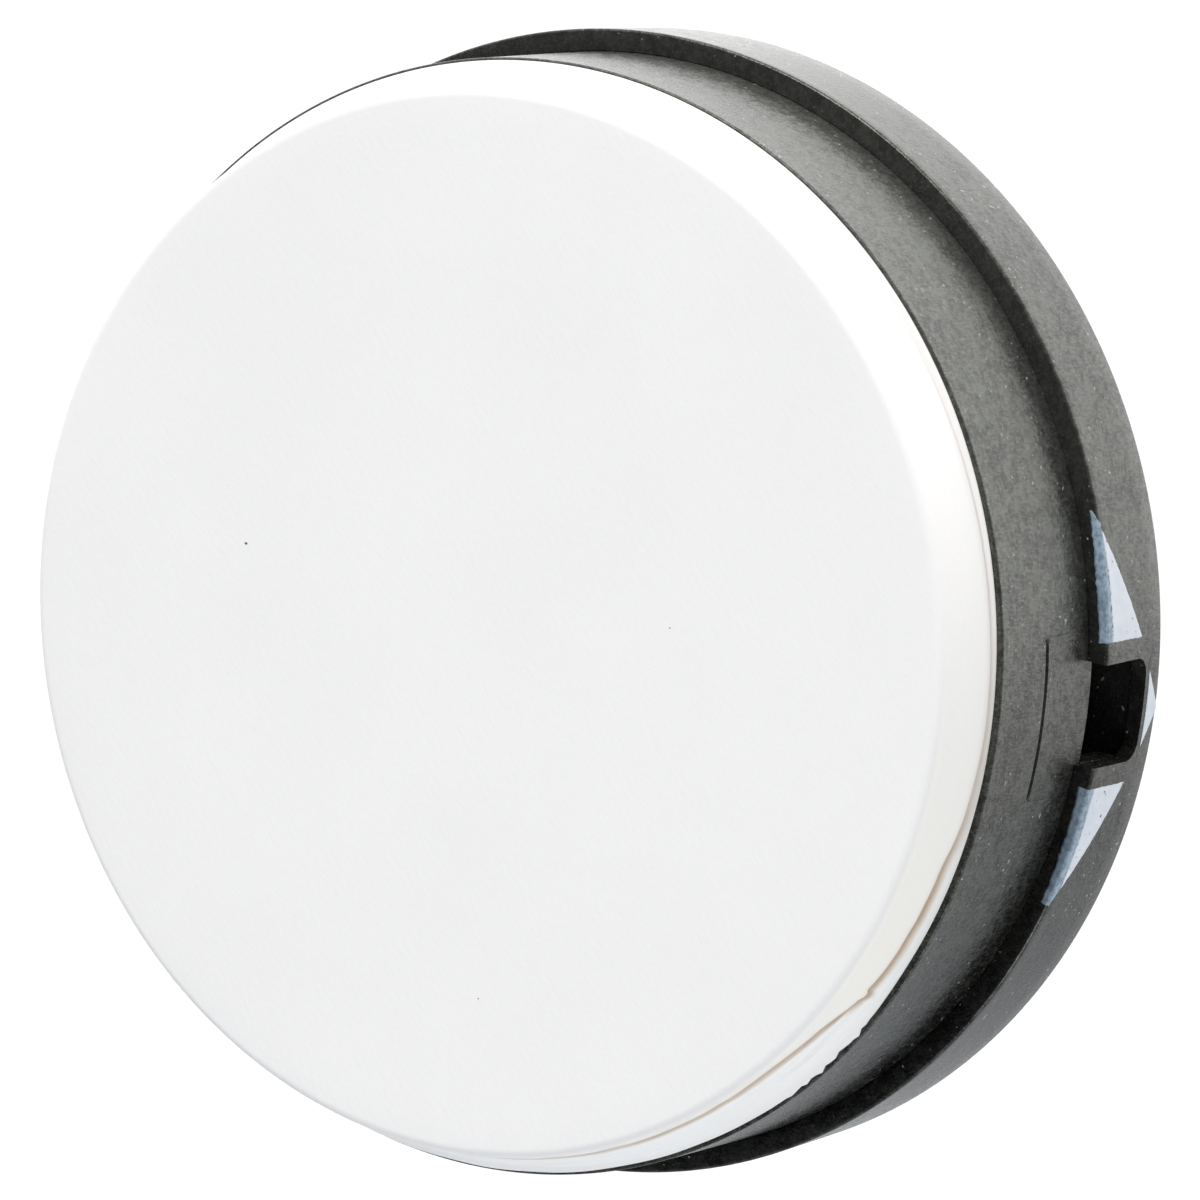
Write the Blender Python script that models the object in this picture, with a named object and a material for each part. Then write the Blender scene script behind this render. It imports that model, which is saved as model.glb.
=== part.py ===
"""Round pedestrian push button: a sprung push cap in a housing that snaps into a wall base.

Everything is drawn in millimetres in the button's own frame: x to the right, y up and
z straight out of the wall. The wall_frame empty turns that frame, so that in the scene
the wall is the plane Y = 0, the cap faces -Y and Z is up.
"""

import math

import bmesh
import bpy
from mathutils import Matrix

MM = 0.001
SHARP_ANGLE = math.radians(35)
ROUND = 60
MEDIUM_ROUND = 32
SMALL_ROUND = 12

# Outside of the button, the two clearances inside it, and PASS: how far a cutter runs past a face
CAP_FACE_Z = 26.16
CAP_FACE_RADIUS = 38.7
CAP_BASE_RADIUS = 39.95
FRONT_Z = 20.7
FRONT_RADIUS = 40.5
CORNER_RADIUS = 40.0
FLANGE_Z = 8.3
FLANGE_RADIUS = 41.65
FLANGE_REAR_RADIUS = 41.1
EDGE = 0.25
GAP = 0.3
CLOSE = 0.25
PASS = 1.0

# Release slot, on the +x side
SLOT_HALF_WIDTH = 3.5
SLOT_REAR_Z = 2.1
SLOT_FRONT_Z = 7.7
SLOT_CORNER = 1.0
SLIT_Z = 14.2
SLIT_WIDTH = 0.4
SLIT_DEPTH = 0.5
SLIT_HALF_ANGLE = math.radians(8.7)

# Base and housing
BASE_FLOOR = 1.9
BASE_BORE = 40.25
HOUSING_REAR_Z = 2.4
HOUSING_REAR_RADIUS = 39.9
REAR_BORE = 38.3
MAIN_BORE = 36.8
COVER_SHOULDER_Z = 11.7
SHELF_REAR_Z = 17.0
SHELF_FRONT_Z = 19.2
SHELF_BORE = 32.2
REBATE_RADIUS = 38.2
WALL_SCREW_HOLE = 2.1
WALL_SCREW_HEAD = 4.0
WALL_SCREW_REACH = 30.0
WALL_SCREW_LAND = 0.6
BOSS_RADIUS = 3.0
BOSS_FRONT_Z = 18.0
COVER_PILOT_Z = (11.0, 16.8)
CLAMP_HOLE_Z = (16.0, 20.0)

# Posts on the base's floor: one holds the release catch, the other hooks into the housing
POST_FOOT_Z = 1.0
CATCH_POST_X = (21.3, 24.0)
CATCH_LIP_X = (18.9, 22.5)
CATCH_LIP_Z = (5.6, 7.4)
CATCH_POST_Y = (-2.4, 2.4)
HOOK_POST_X = (-37.2, -35.8)
HOOK_LIP_X = (-38.9, -36.5)
HOOK_LIP_Z = (5.4, 6.8)
HOOK_POST_Y = (-3.5, 3.5)
HOOK_RECESS_X = (-39.2, -37.0)
HOOK_RECESS_Y = (-4.0, 4.0)
HOOK_RECESS_Z = (5.0, 7.3)

# Pieces inside
COVER_REAR_Z = 8.2
COVER_FRONT_Z = 10.6
COVER_RADIUS = 38.0
COVER_HOLE_Z = (7.0, 12.0)
RAIL_X = (14.0, 34.0)
RAIL_Y = (4.9, 6.4)
RAIL_LIP_X = (14.5, 33.5)
RAIL_LIP_Y = (3.9, 6.0)
RAIL_LIP_Z = (2.3, 3.0)
SPRING_STOP_Y = (-2.5, 2.5)
SPRING_STOP_REAR_Z = 2.6
SPRING_STOP_THICKNESS = 1.5
IN_COVER_Z = 9.0
CHASSIS_REAR_Z = 14.4
CHASSIS_FRONT_Z = 16.7
CHASSIS_RADIUS = 36.5
BUSH_HOLE = 3.1
BUSH_BARREL = 2.85
BUSH_FLANGE = 4.2
BUSH_FLANGE_THICKNESS = 0.7
BUSH_REAR_Z = 14.2
BOSS_SCALLOP = 4.4
PLATE_REAR_Z = 22.2
PLATE_FRONT_Z = 24.3
PLATE_RADIUS = 36.6
BOARD_REAR_Z = 11.9
BOARD_FRONT_Z = 13.3
BOARD_HALF_WIDTH = 18.0
BOARD_LOW_Y = -11.0
BOARD_HIGH_Y = 19.0
BOARD_HOLE = 1.05
BOARD_HOLE_Z = (11.0, 14.0)
BOARD_POST_RADIUS = 2.2
BOARD_POST_FRONT_Z = 15.5
BOARD_PILOT_Z = (12.0, 16.0)
PIN_RADIUS = 1.5
PIN_REAR_Z = 12.4
PIN_FRONT_Z = 23.55
PIN_GROOVE_DEPTH = 0.35
PIN_GROOVE_Z = (13.0, 14.0)
PIN_HOLE_Z = (21.0, 23.85)
CLIP_RADIUS = 3.0
CLIP_Z = (13.25, 13.75)
SPRING_RADIUS = 3.0
SPRING_WIRE = 0.28
SPRING_REAR_Z = 18.0
SPRING_TURNS = 3
PIN_CIRCLE = 27.0
PIN_ANGLES = (90, 210, 330)
COVER_SCREW_CIRCLE = 34.4
COVER_SCREW_ANGLES = (45, 135, 225, 315)
COVER_SCREW_RADIUS = 1.1
COVER_PILOT = 1.35
COVER_SCREW_TIP_Z = 16.5
COVER_HEAD_HEIGHT = 1.0
COVER_HEAD_RADIUS = 2.1
CLAMP_CIRCLE = 34.5
CLAMP_ANGLES = (28, 148, 268)
CLAMP_SCREW_RADIUS = 0.9
CLAMP_PILOT = 1.15
CLAMP_HEAD_RADIUS = 1.7
CLAMP_TOP_Z = 20.35
CLAMP_SCREW_TIP_Z = 14.8
CLAMP_SOCKET_RADIUS = 0.6
CLAMP_SOCKET_DEPTH = 0.6
CLAMP_RING_RADIUS = 36.6
BOARD_SCREWS = ((-15, -8), (15, -8), (0, 16))
BOARD_SCREW_RADIUS = 0.8
BOARD_PILOT = 1.0
BOARD_SCREW_TIP_Z = 15.6
BOARD_HEAD_HEIGHT = 0.65
BOARD_HEAD_RADIUS = 1.6
SWITCH_HALF = 6.0
SWITCH_FRONT_Z = 19.2
PLUNGER_RADIUS = 1.75
PLUNGER_REAR_Z = 18.5
PLUNGER_HOLE_Z = (16.7, 20.0)
TERMINAL_X = -12.5
TERMINAL_PITCH = 5.08
TERMINAL_HALF = 5.5
TERMINAL_Z = (3.2, 7.9)
TERMINAL_WELL_RADIUS = 1.75
TERMINAL_WELL_Z = (2.0, 5.6)
TERMINAL_FEED_Z = (5.0, 9.0)
WIRE_WAY_X = (-7, -3)
WIRE_WAY_Y = 1.2
WIRE_WAY_Z = (4.4, 6.6)
TERMINAL_SCREW_RADIUS = 1.5
TERMINAL_SCREW_Z = (3.0, 5.3)
TERMINAL_SOCKET_RADIUS = 0.8
TERMINAL_SOCKET_DEPTH = 0.8
FEED_PIN_RADIUS = 0.5
FEED_PIN_Z = (6.2, 13.0)
FEED_HOLE = 0.75
GROMMET_Y = -17.0
GROMMET_HOLE = 6.0
GROMMET_BORE = 3.2
GROMMET_REAR_Z = 0.2
GROMMET_LIP_RADIUS = 7.5
GROMMET_LIP_THICKNESS = 1.3
GROMMET_MOUTH = 4.4

# The soft cap and skirt
CAP_REAR_Z = 22.8
CAP_EDGE_RADIAL = 0.95
CAP_EDGE_AXIAL = 0.8
SKIRT_TOP_Z = 22.5
SKIRT_INNER_TOP_Z = 21.5

# Release catch, which slides along x behind the slot
CATCH_Z = 4.25
CATCH_HALF_THICKNESS = 0.95
CATCH_HALF_WIDTH = 4.6
CATCH_INNER_X = 17.4
CATCH_PUSH_X = 36.0
CATCH_WINDOW_X = (20.6, 28.0)
CATCH_WINDOW_Y = (-2.9, 2.9)
CATCH_SPRING_STOP_X = 8.0
CATCH_SPRING_RADIUS = 1.3
CATCH_SPRING_WIRE = 0.22
CATCH_SPRING_TURNS = 5


def clear_scene():
    for obj in list(bpy.data.objects):
        bpy.data.objects.remove(obj, do_unlink=True)


def finish(name, colour, roughness, metallic=0.0):
    """A Principled material of one colour."""
    made = bpy.data.materials.new(name)
    made.use_nodes = True
    shader = made.node_tree.nodes["Principled BSDF"]
    shader.inputs["Base Color"].default_value = (*colour, 1.0)
    shader.inputs["Roughness"].default_value = roughness
    shader.inputs["Metallic"].default_value = metallic
    made.diffuse_color = (*colour, 1.0)
    return made


def empty(name, parent=None, location=(0, 0, 0), rotation=(0, 0, 0)):
    made = bpy.data.objects.new(name, None)
    made.location = [value * MM for value in location]
    made.rotation_euler = rotation
    made.parent = parent
    bpy.context.scene.collection.objects.link(made)
    return made


def mesh_of(name, bm, look):
    """The bmesh, drawn in millimetres, as a mesh in metres that is smooth between its sharp edges."""
    bmesh.ops.recalc_face_normals(bm, faces=bm.faces)
    bmesh.ops.scale(bm, vec=(MM, MM, MM), verts=bm.verts)
    mesh = bpy.data.meshes.new(name)
    bm.to_mesh(mesh)
    bm.free()
    mesh.shade_smooth()
    mesh.set_sharp_from_angle(angle=SHARP_ANGLE)
    if look:
        mesh.materials.append(look)
    return mesh


def placed(name, mesh, parent, location=(0, 0, 0), rotation=(0, 0, 0)):
    obj = bpy.data.objects.new(name, mesh)
    obj.location = [value * MM for value in location]
    obj.rotation_euler = rotation
    obj.parent = parent
    bpy.context.scene.collection.objects.link(obj)
    return obj


def solid(name, bm, look, parent):
    return placed(name, mesh_of(name, bm, look), parent)


def change(target, name, bm, operation):
    """Cuts the bmesh from the target, or joins it on, with a Boolean whose helper isn't rendered."""
    helper = placed(f"{target.name}_{name}", mesh_of(name, bm, None), target.parent)
    helper.hide_render = True
    helper.display_type = "WIRE"
    modifier = target.modifiers.new(name, "BOOLEAN")
    modifier.operation = operation
    modifier.solver = "EXACT"
    modifier.object = helper


def cut(target, name, bm):
    change(target, name, bm, "DIFFERENCE")


def join(target, name, bm):
    change(target, name, bm, "UNION")


def turned(profile, segments=ROUND, filled=False):
    """The (radius, z) profile turned about z: a ring, or a filled solid capped at both its ends."""
    bm = bmesh.new()
    angles = [math.tau * step / segments for step in range(segments)]
    rings = [
        [bm.verts.new((radius * math.cos(a), radius * math.sin(a), z)) for a in angles]
        for radius, z in profile
    ]
    pairs = list(zip(rings, rings[1:]))
    if filled:
        bm.faces.new(rings[0])
        bm.faces.new(rings[-1])
    else:
        pairs.append((rings[-1], rings[0]))
    for lower, upper in pairs:
        for step in range(segments):
            after = (step + 1) % segments
            bm.faces.new((lower[step], lower[after], upper[after], upper[step]))
    return bm


def rod(radius, low, high, segments=SMALL_ROUND):
    return turned([(radius, low), (radius, high)], segments, filled=True)


def tube(inner, outer, low, high, segments=ROUND):
    return turned([(inner, low), (outer, low), (outer, high), (inner, high)], segments)


def block(x, y, z):
    """A box from its (low, high) pair along each axis."""
    bm = bmesh.new()
    middle = [(low + high) / 2 for low, high in (x, y, z)]
    size = [high - low for low, high in (x, y, z)]
    matrix = Matrix.Translation(middle) @ Matrix.Diagonal((*size, 1))
    bmesh.ops.create_cube(bm, size=1, matrix=matrix)
    return bm


def ring_sector(inner, outer, low, high, half_angle, steps=8):
    """A piece of a ring, centred on +x and half_angle to each side of it."""
    bm = bmesh.new()
    sections = []
    for step in range(steps + 1):
        angle = half_angle * (2 * step / steps - 1)
        corners = ((inner, low), (outer, low), (outer, high), (inner, high))
        sections.append(
            [bm.verts.new((r * math.cos(angle), r * math.sin(angle), z)) for r, z in corners]
        )
    for one, other in zip(sections, sections[1:]):
        for side in range(4):
            after = (side + 1) % 4
            bm.faces.new((one[side], one[after], other[after], other[side]))
    bm.faces.new(sections[0])
    bm.faces.new(sections[-1])
    return bm


def coil(radius, wire, low, high, turns, sides=5, steps=10):
    """A round-wire compression spring along z."""
    bm = bmesh.new()
    count = int(turns * steps)
    rings = []
    for step in range(count + 1):
        angle = math.tau * step / steps
        z = low + wire + (high - low - 2 * wire) * step / count
        ring = []
        for side in range(sides):
            around = math.tau * side / sides
            r = radius + wire * math.cos(around)
            ring.append(
                bm.verts.new((r * math.cos(angle), r * math.sin(angle), z + wire * math.sin(around)))
            )
        rings.append(ring)
    for one, other in zip(rings, rings[1:]):
        for side in range(sides):
            after = (side + 1) % sides
            bm.faces.new((one[side], one[after], other[after], other[side]))
    bm.faces.new(rings[0])
    bm.faces.new(rings[-1])
    return bm


def screw(shank_radius, tip_z, head_profile):
    """A screw along z with its tip at tip_z; the head profile ends at the floor of its socket."""
    return turned([(shank_radius, tip_z), *head_profile], SMALL_ROUND, filled=True)


def pan_head(shank_radius, under_z, height, radius):
    """The profile of a pan head that faces the wall, with a socket for the driver."""
    top = under_z - height
    socket = shank_radius * 0.8
    return [
        (shank_radius, under_z),
        (radius, under_z),
        (radius, under_z - 0.6 * height),
        (0.8 * radius, top),
        (socket, top),
        (socket, under_z - 0.4 * height),
    ]


def on_circle(radius, degrees):
    angle = math.radians(degrees)
    return radius * math.cos(angle), radius * math.sin(angle)


def moved(bm, x, y):
    bmesh.ops.translate(bm, vec=(x, y, 0), verts=bm.verts)
    return bm


def together(*parts):
    """One bmesh that holds several solids which don't touch each other."""
    whole = bmesh.new()
    for part in parts:
        mesh = bpy.data.meshes.new("part")
        part.to_mesh(mesh)
        part.free()
        whole.from_mesh(mesh)
        bpy.data.meshes.remove(mesh)
    return whole


def repeated(make, places):
    """The solid that make() gives, once at each (x, y) place."""
    return together(*(moved(make(), x, y) for x, y in places))


def slot_outline(front_z, depth_x):
    """The slot's cutter: a flat-sided opening with rounded corners at the wall's side."""
    bm = bmesh.new()
    corner_steps = 4
    outline = [(-SLOT_HALF_WIDTH, front_z)]
    for side in (-1, 1):
        for step in range(corner_steps + 1):
            turn = math.radians(90) * step / corner_steps
            if side > 0:
                turn = math.radians(90) - turn
            y = side * (SLOT_HALF_WIDTH - SLOT_CORNER * (1 - math.cos(turn)))
            outline.append((y, SLOT_REAR_Z + SLOT_CORNER * (1 - math.sin(turn))))
    outline.append((SLOT_HALF_WIDTH, front_z))
    face = bm.faces.new([bm.verts.new((depth_x[0], y, z)) for y, z in outline])
    grown = bmesh.ops.extrude_face_region(bm, geom=[face])
    corners = [item for item in grown["geom"] if isinstance(item, bmesh.types.BMVert)]
    bmesh.ops.translate(bm, vec=(depth_x[1] - depth_x[0], 0, 0), verts=corners)
    return bm


def mounting_base(frame, look):
    """The cup that is screwed to the wall, with the slot in its rim and two catches on its floor."""
    rim = FLANGE_RADIUS - EDGE
    base = solid(
        "mounting_base",
        turned(
            [
                (FLANGE_REAR_RADIUS, 0),
                (FLANGE_RADIUS, FLANGE_Z - EDGE),
                (rim, FLANGE_Z),
                (BASE_BORE, FLANGE_Z),
                (BASE_BORE, BASE_FLOOR),
            ],
            filled=True,
        ),
        look,
        frame,
    )
    slot_x = (BASE_BORE - PASS, FLANGE_RADIUS + PASS)
    cut(base, "slot", slot_outline(FLANGE_Z + PASS, slot_x))
    catch_z = (POST_FOOT_Z, CATCH_LIP_Z[1])
    join(base, "catch_post", block(CATCH_POST_X, CATCH_POST_Y, catch_z))
    join(base, "catch_lip", block(CATCH_LIP_X, CATCH_POST_Y, CATCH_LIP_Z))
    hook_z = (POST_FOOT_Z, HOOK_LIP_Z[1])
    join(base, "hook_post", block(HOOK_POST_X, HOOK_POST_Y, hook_z))
    join(base, "hook_lip", block(HOOK_LIP_X, HOOK_POST_Y, HOOK_LIP_Z))
    countersink = [
        (WALL_SCREW_HOLE, -PASS),
        (WALL_SCREW_HOLE, WALL_SCREW_LAND),
        (WALL_SCREW_HEAD, BASE_FLOOR + 0.1),
        (WALL_SCREW_HEAD, BASE_FLOOR + PASS),
    ]
    places = ((0, WALL_SCREW_REACH), (0, -WALL_SCREW_REACH))
    holes = repeated(lambda: turned(countersink, SMALL_ROUND, filled=True), places)
    cut(base, "wall_screw_holes", holes)
    cable_hole = rod(GROMMET_HOLE, -PASS, BASE_FLOOR + PASS, MEDIUM_ROUND)
    cut(base, "cable_hole", moved(cable_hole, 0, GROMMET_Y))


def housing(frame, look):
    """The body: an outer wall, a shelf for the chassis, bosses for the back cover, slot and slit."""
    body = solid(
        "housing",
        turned(
            [
                (HOUSING_REAR_RADIUS, HOUSING_REAR_Z),
                (CORNER_RADIUS, FLANGE_Z),
                (FRONT_RADIUS, FRONT_Z - EDGE),
                (FRONT_RADIUS - EDGE, FRONT_Z),
                (REBATE_RADIUS, FRONT_Z),
                (REBATE_RADIUS, SHELF_FRONT_Z),
                (SHELF_BORE, SHELF_FRONT_Z),
                (SHELF_BORE, SHELF_REAR_Z),
                (MAIN_BORE, SHELF_REAR_Z),
                (MAIN_BORE, COVER_SHOULDER_Z),
                (REAR_BORE, COVER_SHOULDER_Z),
                (REAR_BORE, HOUSING_REAR_Z),
            ]
        ),
        look,
        frame,
    )
    boss_rear = COVER_SHOULDER_Z + 0.1
    boss_places = [on_circle(COVER_SCREW_CIRCLE, angle) for angle in COVER_SCREW_ANGLES]
    clamp_places = [on_circle(CLAMP_CIRCLE, angle) for angle in CLAMP_ANGLES]
    join(body, "bosses", repeated(lambda: rod(BOSS_RADIUS, boss_rear, BOSS_FRONT_Z), boss_places))
    cut(body, "pilots", repeated(lambda: rod(COVER_PILOT, *COVER_PILOT_Z), boss_places))
    cut(body, "clamp_holes", repeated(lambda: rod(CLAMP_PILOT, *CLAMP_HOLE_Z), clamp_places))
    slot_x = (REAR_BORE - 2 * PASS, FRONT_RADIUS + PASS)
    slot_y = (-SLOT_HALF_WIDTH, SLOT_HALF_WIDTH)
    cut(body, "slot", block(slot_x, slot_y, (HOUSING_REAR_Z - PASS, SLOT_FRONT_Z)))
    slit_z = (SLIT_Z - SLIT_WIDTH / 2, SLIT_Z + SLIT_WIDTH / 2)
    slit_floor = CORNER_RADIUS + 0.2 - SLIT_DEPTH
    cut(body, "slit", ring_sector(slit_floor, FRONT_RADIUS + PASS, *slit_z, SLIT_HALF_ANGLE))
    cut(body, "hook_recess", block(HOOK_RECESS_X, HOOK_RECESS_Y, HOOK_RECESS_Z))


def back_cover(frame, look):
    """The lid behind the board, with the catch's rails and spring stop on its wall side."""
    cover = solid("back_cover", rod(COVER_RADIUS, COVER_REAR_Z, COVER_FRONT_Z, ROUND), look, frame)
    for name, side in (("low", -1), ("high", 1)):
        rail_y = sorted(side * value for value in RAIL_Y)
        lip_y = sorted(side * value for value in RAIL_LIP_Y)
        join(cover, f"{name}_rail", block(RAIL_X, rail_y, (RAIL_LIP_Z[0], IN_COVER_Z)))
        join(cover, f"{name}_lip", block(RAIL_LIP_X, lip_y, RAIL_LIP_Z))
    stop_x = (CATCH_SPRING_STOP_X - SPRING_STOP_THICKNESS, CATCH_SPRING_STOP_X)
    join(cover, "spring_stop", block(stop_x, SPRING_STOP_Y, (SPRING_STOP_REAR_Z, IN_COVER_Z)))
    screws = [on_circle(COVER_SCREW_CIRCLE, angle) for angle in COVER_SCREW_ANGLES]
    cut(cover, "screw_holes", repeated(lambda: rod(COVER_PILOT, *COVER_HOLE_Z), screws))
    cut(cover, "feed_holes", repeated(lambda: rod(FEED_HOLE, *COVER_HOLE_Z), feed_places()))


def cover_gasket(frame, look):
    low = COVER_FRONT_Z + CLOSE
    high = COVER_SHOULDER_Z - CLOSE
    solid("cover_gasket", tube(MAIN_BORE + CLOSE, REAR_BORE - CLOSE, low, high), look, frame)


def cover_screws(frame, look):
    under_z = COVER_REAR_Z - GAP
    head = pan_head(COVER_SCREW_RADIUS, under_z, COVER_HEAD_HEIGHT, COVER_HEAD_RADIUS)
    mesh = mesh_of("cover_screw", screw(COVER_SCREW_RADIUS, COVER_SCREW_TIP_Z, head), look)
    for number, angle in enumerate(COVER_SCREW_ANGLES, 1):
        x, y = on_circle(COVER_SCREW_CIRCLE, angle)
        placed(f"cover_screw_{number}", mesh, frame, (x, y, 0))


def chassis(frame, look):
    """The inner plate that guides the pins and carries the board."""
    plate = rod(CHASSIS_RADIUS, CHASSIS_REAR_Z, CHASSIS_FRONT_Z, ROUND)
    plate = solid("chassis", plate, look, frame)
    through = (CHASSIS_REAR_Z - 2 * PASS, CHASSIS_FRONT_Z + PASS)
    post_z = (BOARD_FRONT_Z + GAP, BOARD_POST_FRONT_Z)
    join(plate, "board_posts", repeated(lambda: rod(BOARD_POST_RADIUS, *post_z), BOARD_SCREWS))
    cut(plate, "board_pilots", repeated(lambda: rod(BOARD_PILOT, *BOARD_PILOT_Z), BOARD_SCREWS))
    scallops = [on_circle(COVER_SCREW_CIRCLE + 1, angle) for angle in COVER_SCREW_ANGLES]
    cut(plate, "boss_scallops", repeated(lambda: rod(BOSS_SCALLOP, *through), scallops))
    pins = [on_circle(PIN_CIRCLE, angle) for angle in PIN_ANGLES]
    cut(plate, "bush_holes", repeated(lambda: rod(BUSH_HOLE, *through), pins))
    clamps = [on_circle(CLAMP_CIRCLE, angle) for angle in CLAMP_ANGLES]
    cut(plate, "clamp_pilots", repeated(lambda: rod(CLAMP_PILOT, *through), clamps))
    half = SWITCH_HALF + 0.4
    cut(plate, "switch_opening", block((-half, half), (-half, half), through))


def clamp_ring(frame, look):
    """The flat ring that clamps the skirt's foot to the shelf, with countersunk holes."""
    low = SHELF_FRONT_Z + CLOSE
    ring = tube(SHELF_BORE + 0.2, CLAMP_RING_RADIUS, low, CLAMP_TOP_Z)
    ring = solid("clamp_ring", ring, look, frame)
    hole = [
        (CLAMP_PILOT, low - PASS),
        (CLAMP_PILOT, low + 0.1),
        (CLAMP_HEAD_RADIUS + CLOSE, CLAMP_TOP_Z + 0.05),
        (CLAMP_HEAD_RADIUS + CLOSE, CLAMP_TOP_Z + PASS),
    ]
    places = [on_circle(CLAMP_CIRCLE, angle) for angle in CLAMP_ANGLES]
    cut(ring, "screw_holes", repeated(lambda: turned(hole, SMALL_ROUND, filled=True), places))


def clamp_screws(frame, look):
    """Countersunk screws that hold the clamp ring, the shelf and the chassis together."""
    top = CLAMP_TOP_Z - 0.05
    head = [
        (CLAMP_SCREW_RADIUS, SHELF_FRONT_Z + 0.4),
        (CLAMP_HEAD_RADIUS, top),
        (CLAMP_SOCKET_RADIUS, top),
        (CLAMP_SOCKET_RADIUS, top - CLAMP_SOCKET_DEPTH),
    ]
    mesh = mesh_of("clamp_screw", screw(CLAMP_SCREW_RADIUS, CLAMP_SCREW_TIP_Z, head), look)
    for number, angle in enumerate(CLAMP_ANGLES, 1):
        x, y = on_circle(CLAMP_CIRCLE, angle)
        placed(f"clamp_screw_{number}", mesh, frame, (x, y, 0))


def push_plate(axis, look):
    """The stiff plate under the soft cap, with blind holes for the guide pins."""
    plate = solid("push_plate", rod(PLATE_RADIUS, PLATE_REAR_Z, PLATE_FRONT_Z, ROUND), look, axis)
    pins = [on_circle(PIN_CIRCLE, angle) for angle in PIN_ANGLES]
    cut(plate, "pin_holes", repeated(lambda: rod(PIN_RADIUS + 0.2, *PIN_HOLE_Z), pins))


def cap_cover(axis, look):
    """The soft white cap over the push plate, with a rounded edge and a sloping side."""
    inner_radius = PLATE_RADIUS + GAP
    edge_steps = 4
    profile = []
    for step in range(edge_steps + 1):
        turn = math.radians(90) * step / edge_steps
        radius = CAP_FACE_RADIUS - CAP_EDGE_RADIAL * (1 - math.sin(turn))
        profile.append((radius, CAP_FACE_Z - CAP_EDGE_AXIAL * (1 - math.cos(turn))))
    profile += [
        (CAP_BASE_RADIUS, CAP_REAR_Z),
        (inner_radius, CAP_REAR_Z),
        (inner_radius, PLATE_FRONT_Z + CLOSE),
    ]
    solid("cap_cover", turned(profile, filled=True), look, axis)


def skirt(frame, look):
    """The soft white skirt between the cap and the housing's front edge, with its clamped foot."""
    foot = (MAIN_BORE + 0.05, REBATE_RADIUS - 0.2)
    profile = [
        (foot[0], SHELF_FRONT_Z + 0.2),
        (foot[1], SHELF_FRONT_Z + 0.2),
        (foot[1], FRONT_Z + CLOSE),
        (CAP_BASE_RADIUS, FRONT_Z + CLOSE),
        (CAP_BASE_RADIUS - 0.05, SKIRT_TOP_Z),
        (foot[1] + 0.2, SKIRT_TOP_Z),
        (foot[0], SKIRT_INNER_TOP_Z),
    ]
    solid("skirt", turned(profile), look, frame)


def guide_pins(axis, look):
    """Pins fixed in the push plate that slide in the chassis, with a groove for the clip."""
    groove = PIN_RADIUS - PIN_GROOVE_DEPTH
    low, high = PIN_GROOVE_Z
    profile = [
        (PIN_RADIUS, PIN_REAR_Z),
        (PIN_RADIUS, low),
        (groove, low),
        (groove, high),
        (PIN_RADIUS, high),
        (PIN_RADIUS, PIN_FRONT_Z),
    ]
    mesh = mesh_of("guide_pin", turned(profile, SMALL_ROUND, filled=True), look)
    for number, angle in enumerate(PIN_ANGLES, 1):
        x, y = on_circle(PIN_CIRCLE, angle)
        placed(f"guide_pin_{number}", mesh, axis, (x, y, 0))


def pin_clips(axis, look):
    ring = tube(PIN_RADIUS - PIN_GROOVE_DEPTH + 0.2, CLIP_RADIUS, *CLIP_Z, SMALL_ROUND)
    mesh = mesh_of("pin_clip", ring, look)
    for number, angle in enumerate(PIN_ANGLES, 1):
        x, y = on_circle(PIN_CIRCLE, angle)
        placed(f"pin_clip_{number}", mesh, axis, (x, y, 0))


def guide_bushes(frame, look):
    bore = PIN_RADIUS + 0.2
    low = CHASSIS_FRONT_Z + GAP
    high = low + BUSH_FLANGE_THICKNESS
    profile = [
        (bore, BUSH_REAR_Z),
        (BUSH_BARREL, BUSH_REAR_Z),
        (BUSH_BARREL, low),
        (BUSH_FLANGE, low),
        (BUSH_FLANGE, high),
        (bore, high),
    ]
    mesh = mesh_of("guide_bush", turned(profile, SMALL_ROUND), look)
    for number, angle in enumerate(PIN_ANGLES, 1):
        x, y = on_circle(PIN_CIRCLE, angle)
        placed(f"guide_bush_{number}", mesh, frame, (x, y, 0))


def return_springs(frame, look):
    span = (SPRING_REAR_Z, PLATE_REAR_Z - GAP)
    spring = coil(SPRING_RADIUS, SPRING_WIRE, *span, SPRING_TURNS)
    mesh = mesh_of("return_spring", spring, look)
    for number, angle in enumerate(PIN_ANGLES, 1):
        x, y = on_circle(PIN_CIRCLE, angle)
        placed(f"return_spring_{number}", mesh, frame, (x, y, 0))


def switch(frame, plunger_axis, body_look, plunger_look):
    """The sealed switch in the middle of the board, and its plunger."""
    sides = (-SWITCH_HALF, SWITCH_HALF)
    box = block(sides, sides, (BOARD_FRONT_Z + GAP, SWITCH_FRONT_Z))
    body = solid("switch_body", box, body_look, frame)
    cut(body, "plunger_hole", rod(PLUNGER_RADIUS + CLOSE, *PLUNGER_HOLE_Z))
    plunger = rod(PLUNGER_RADIUS, PLUNGER_REAR_Z, PLATE_REAR_Z - GAP)
    solid("switch_plunger", plunger, plunger_look, plunger_axis)


def circuit_board(frame, look):
    board = block(
        (-BOARD_HALF_WIDTH, BOARD_HALF_WIDTH),
        (BOARD_LOW_Y, BOARD_HIGH_Y),
        (BOARD_REAR_Z, BOARD_FRONT_Z),
    )
    board = solid("circuit_board", board, look, frame)
    cut(board, "screw_holes", repeated(lambda: rod(BOARD_HOLE, *BOARD_HOLE_Z), BOARD_SCREWS))
    cut(board, "feed_holes", repeated(lambda: rod(FEED_HOLE, *BOARD_HOLE_Z), feed_places()))


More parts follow.
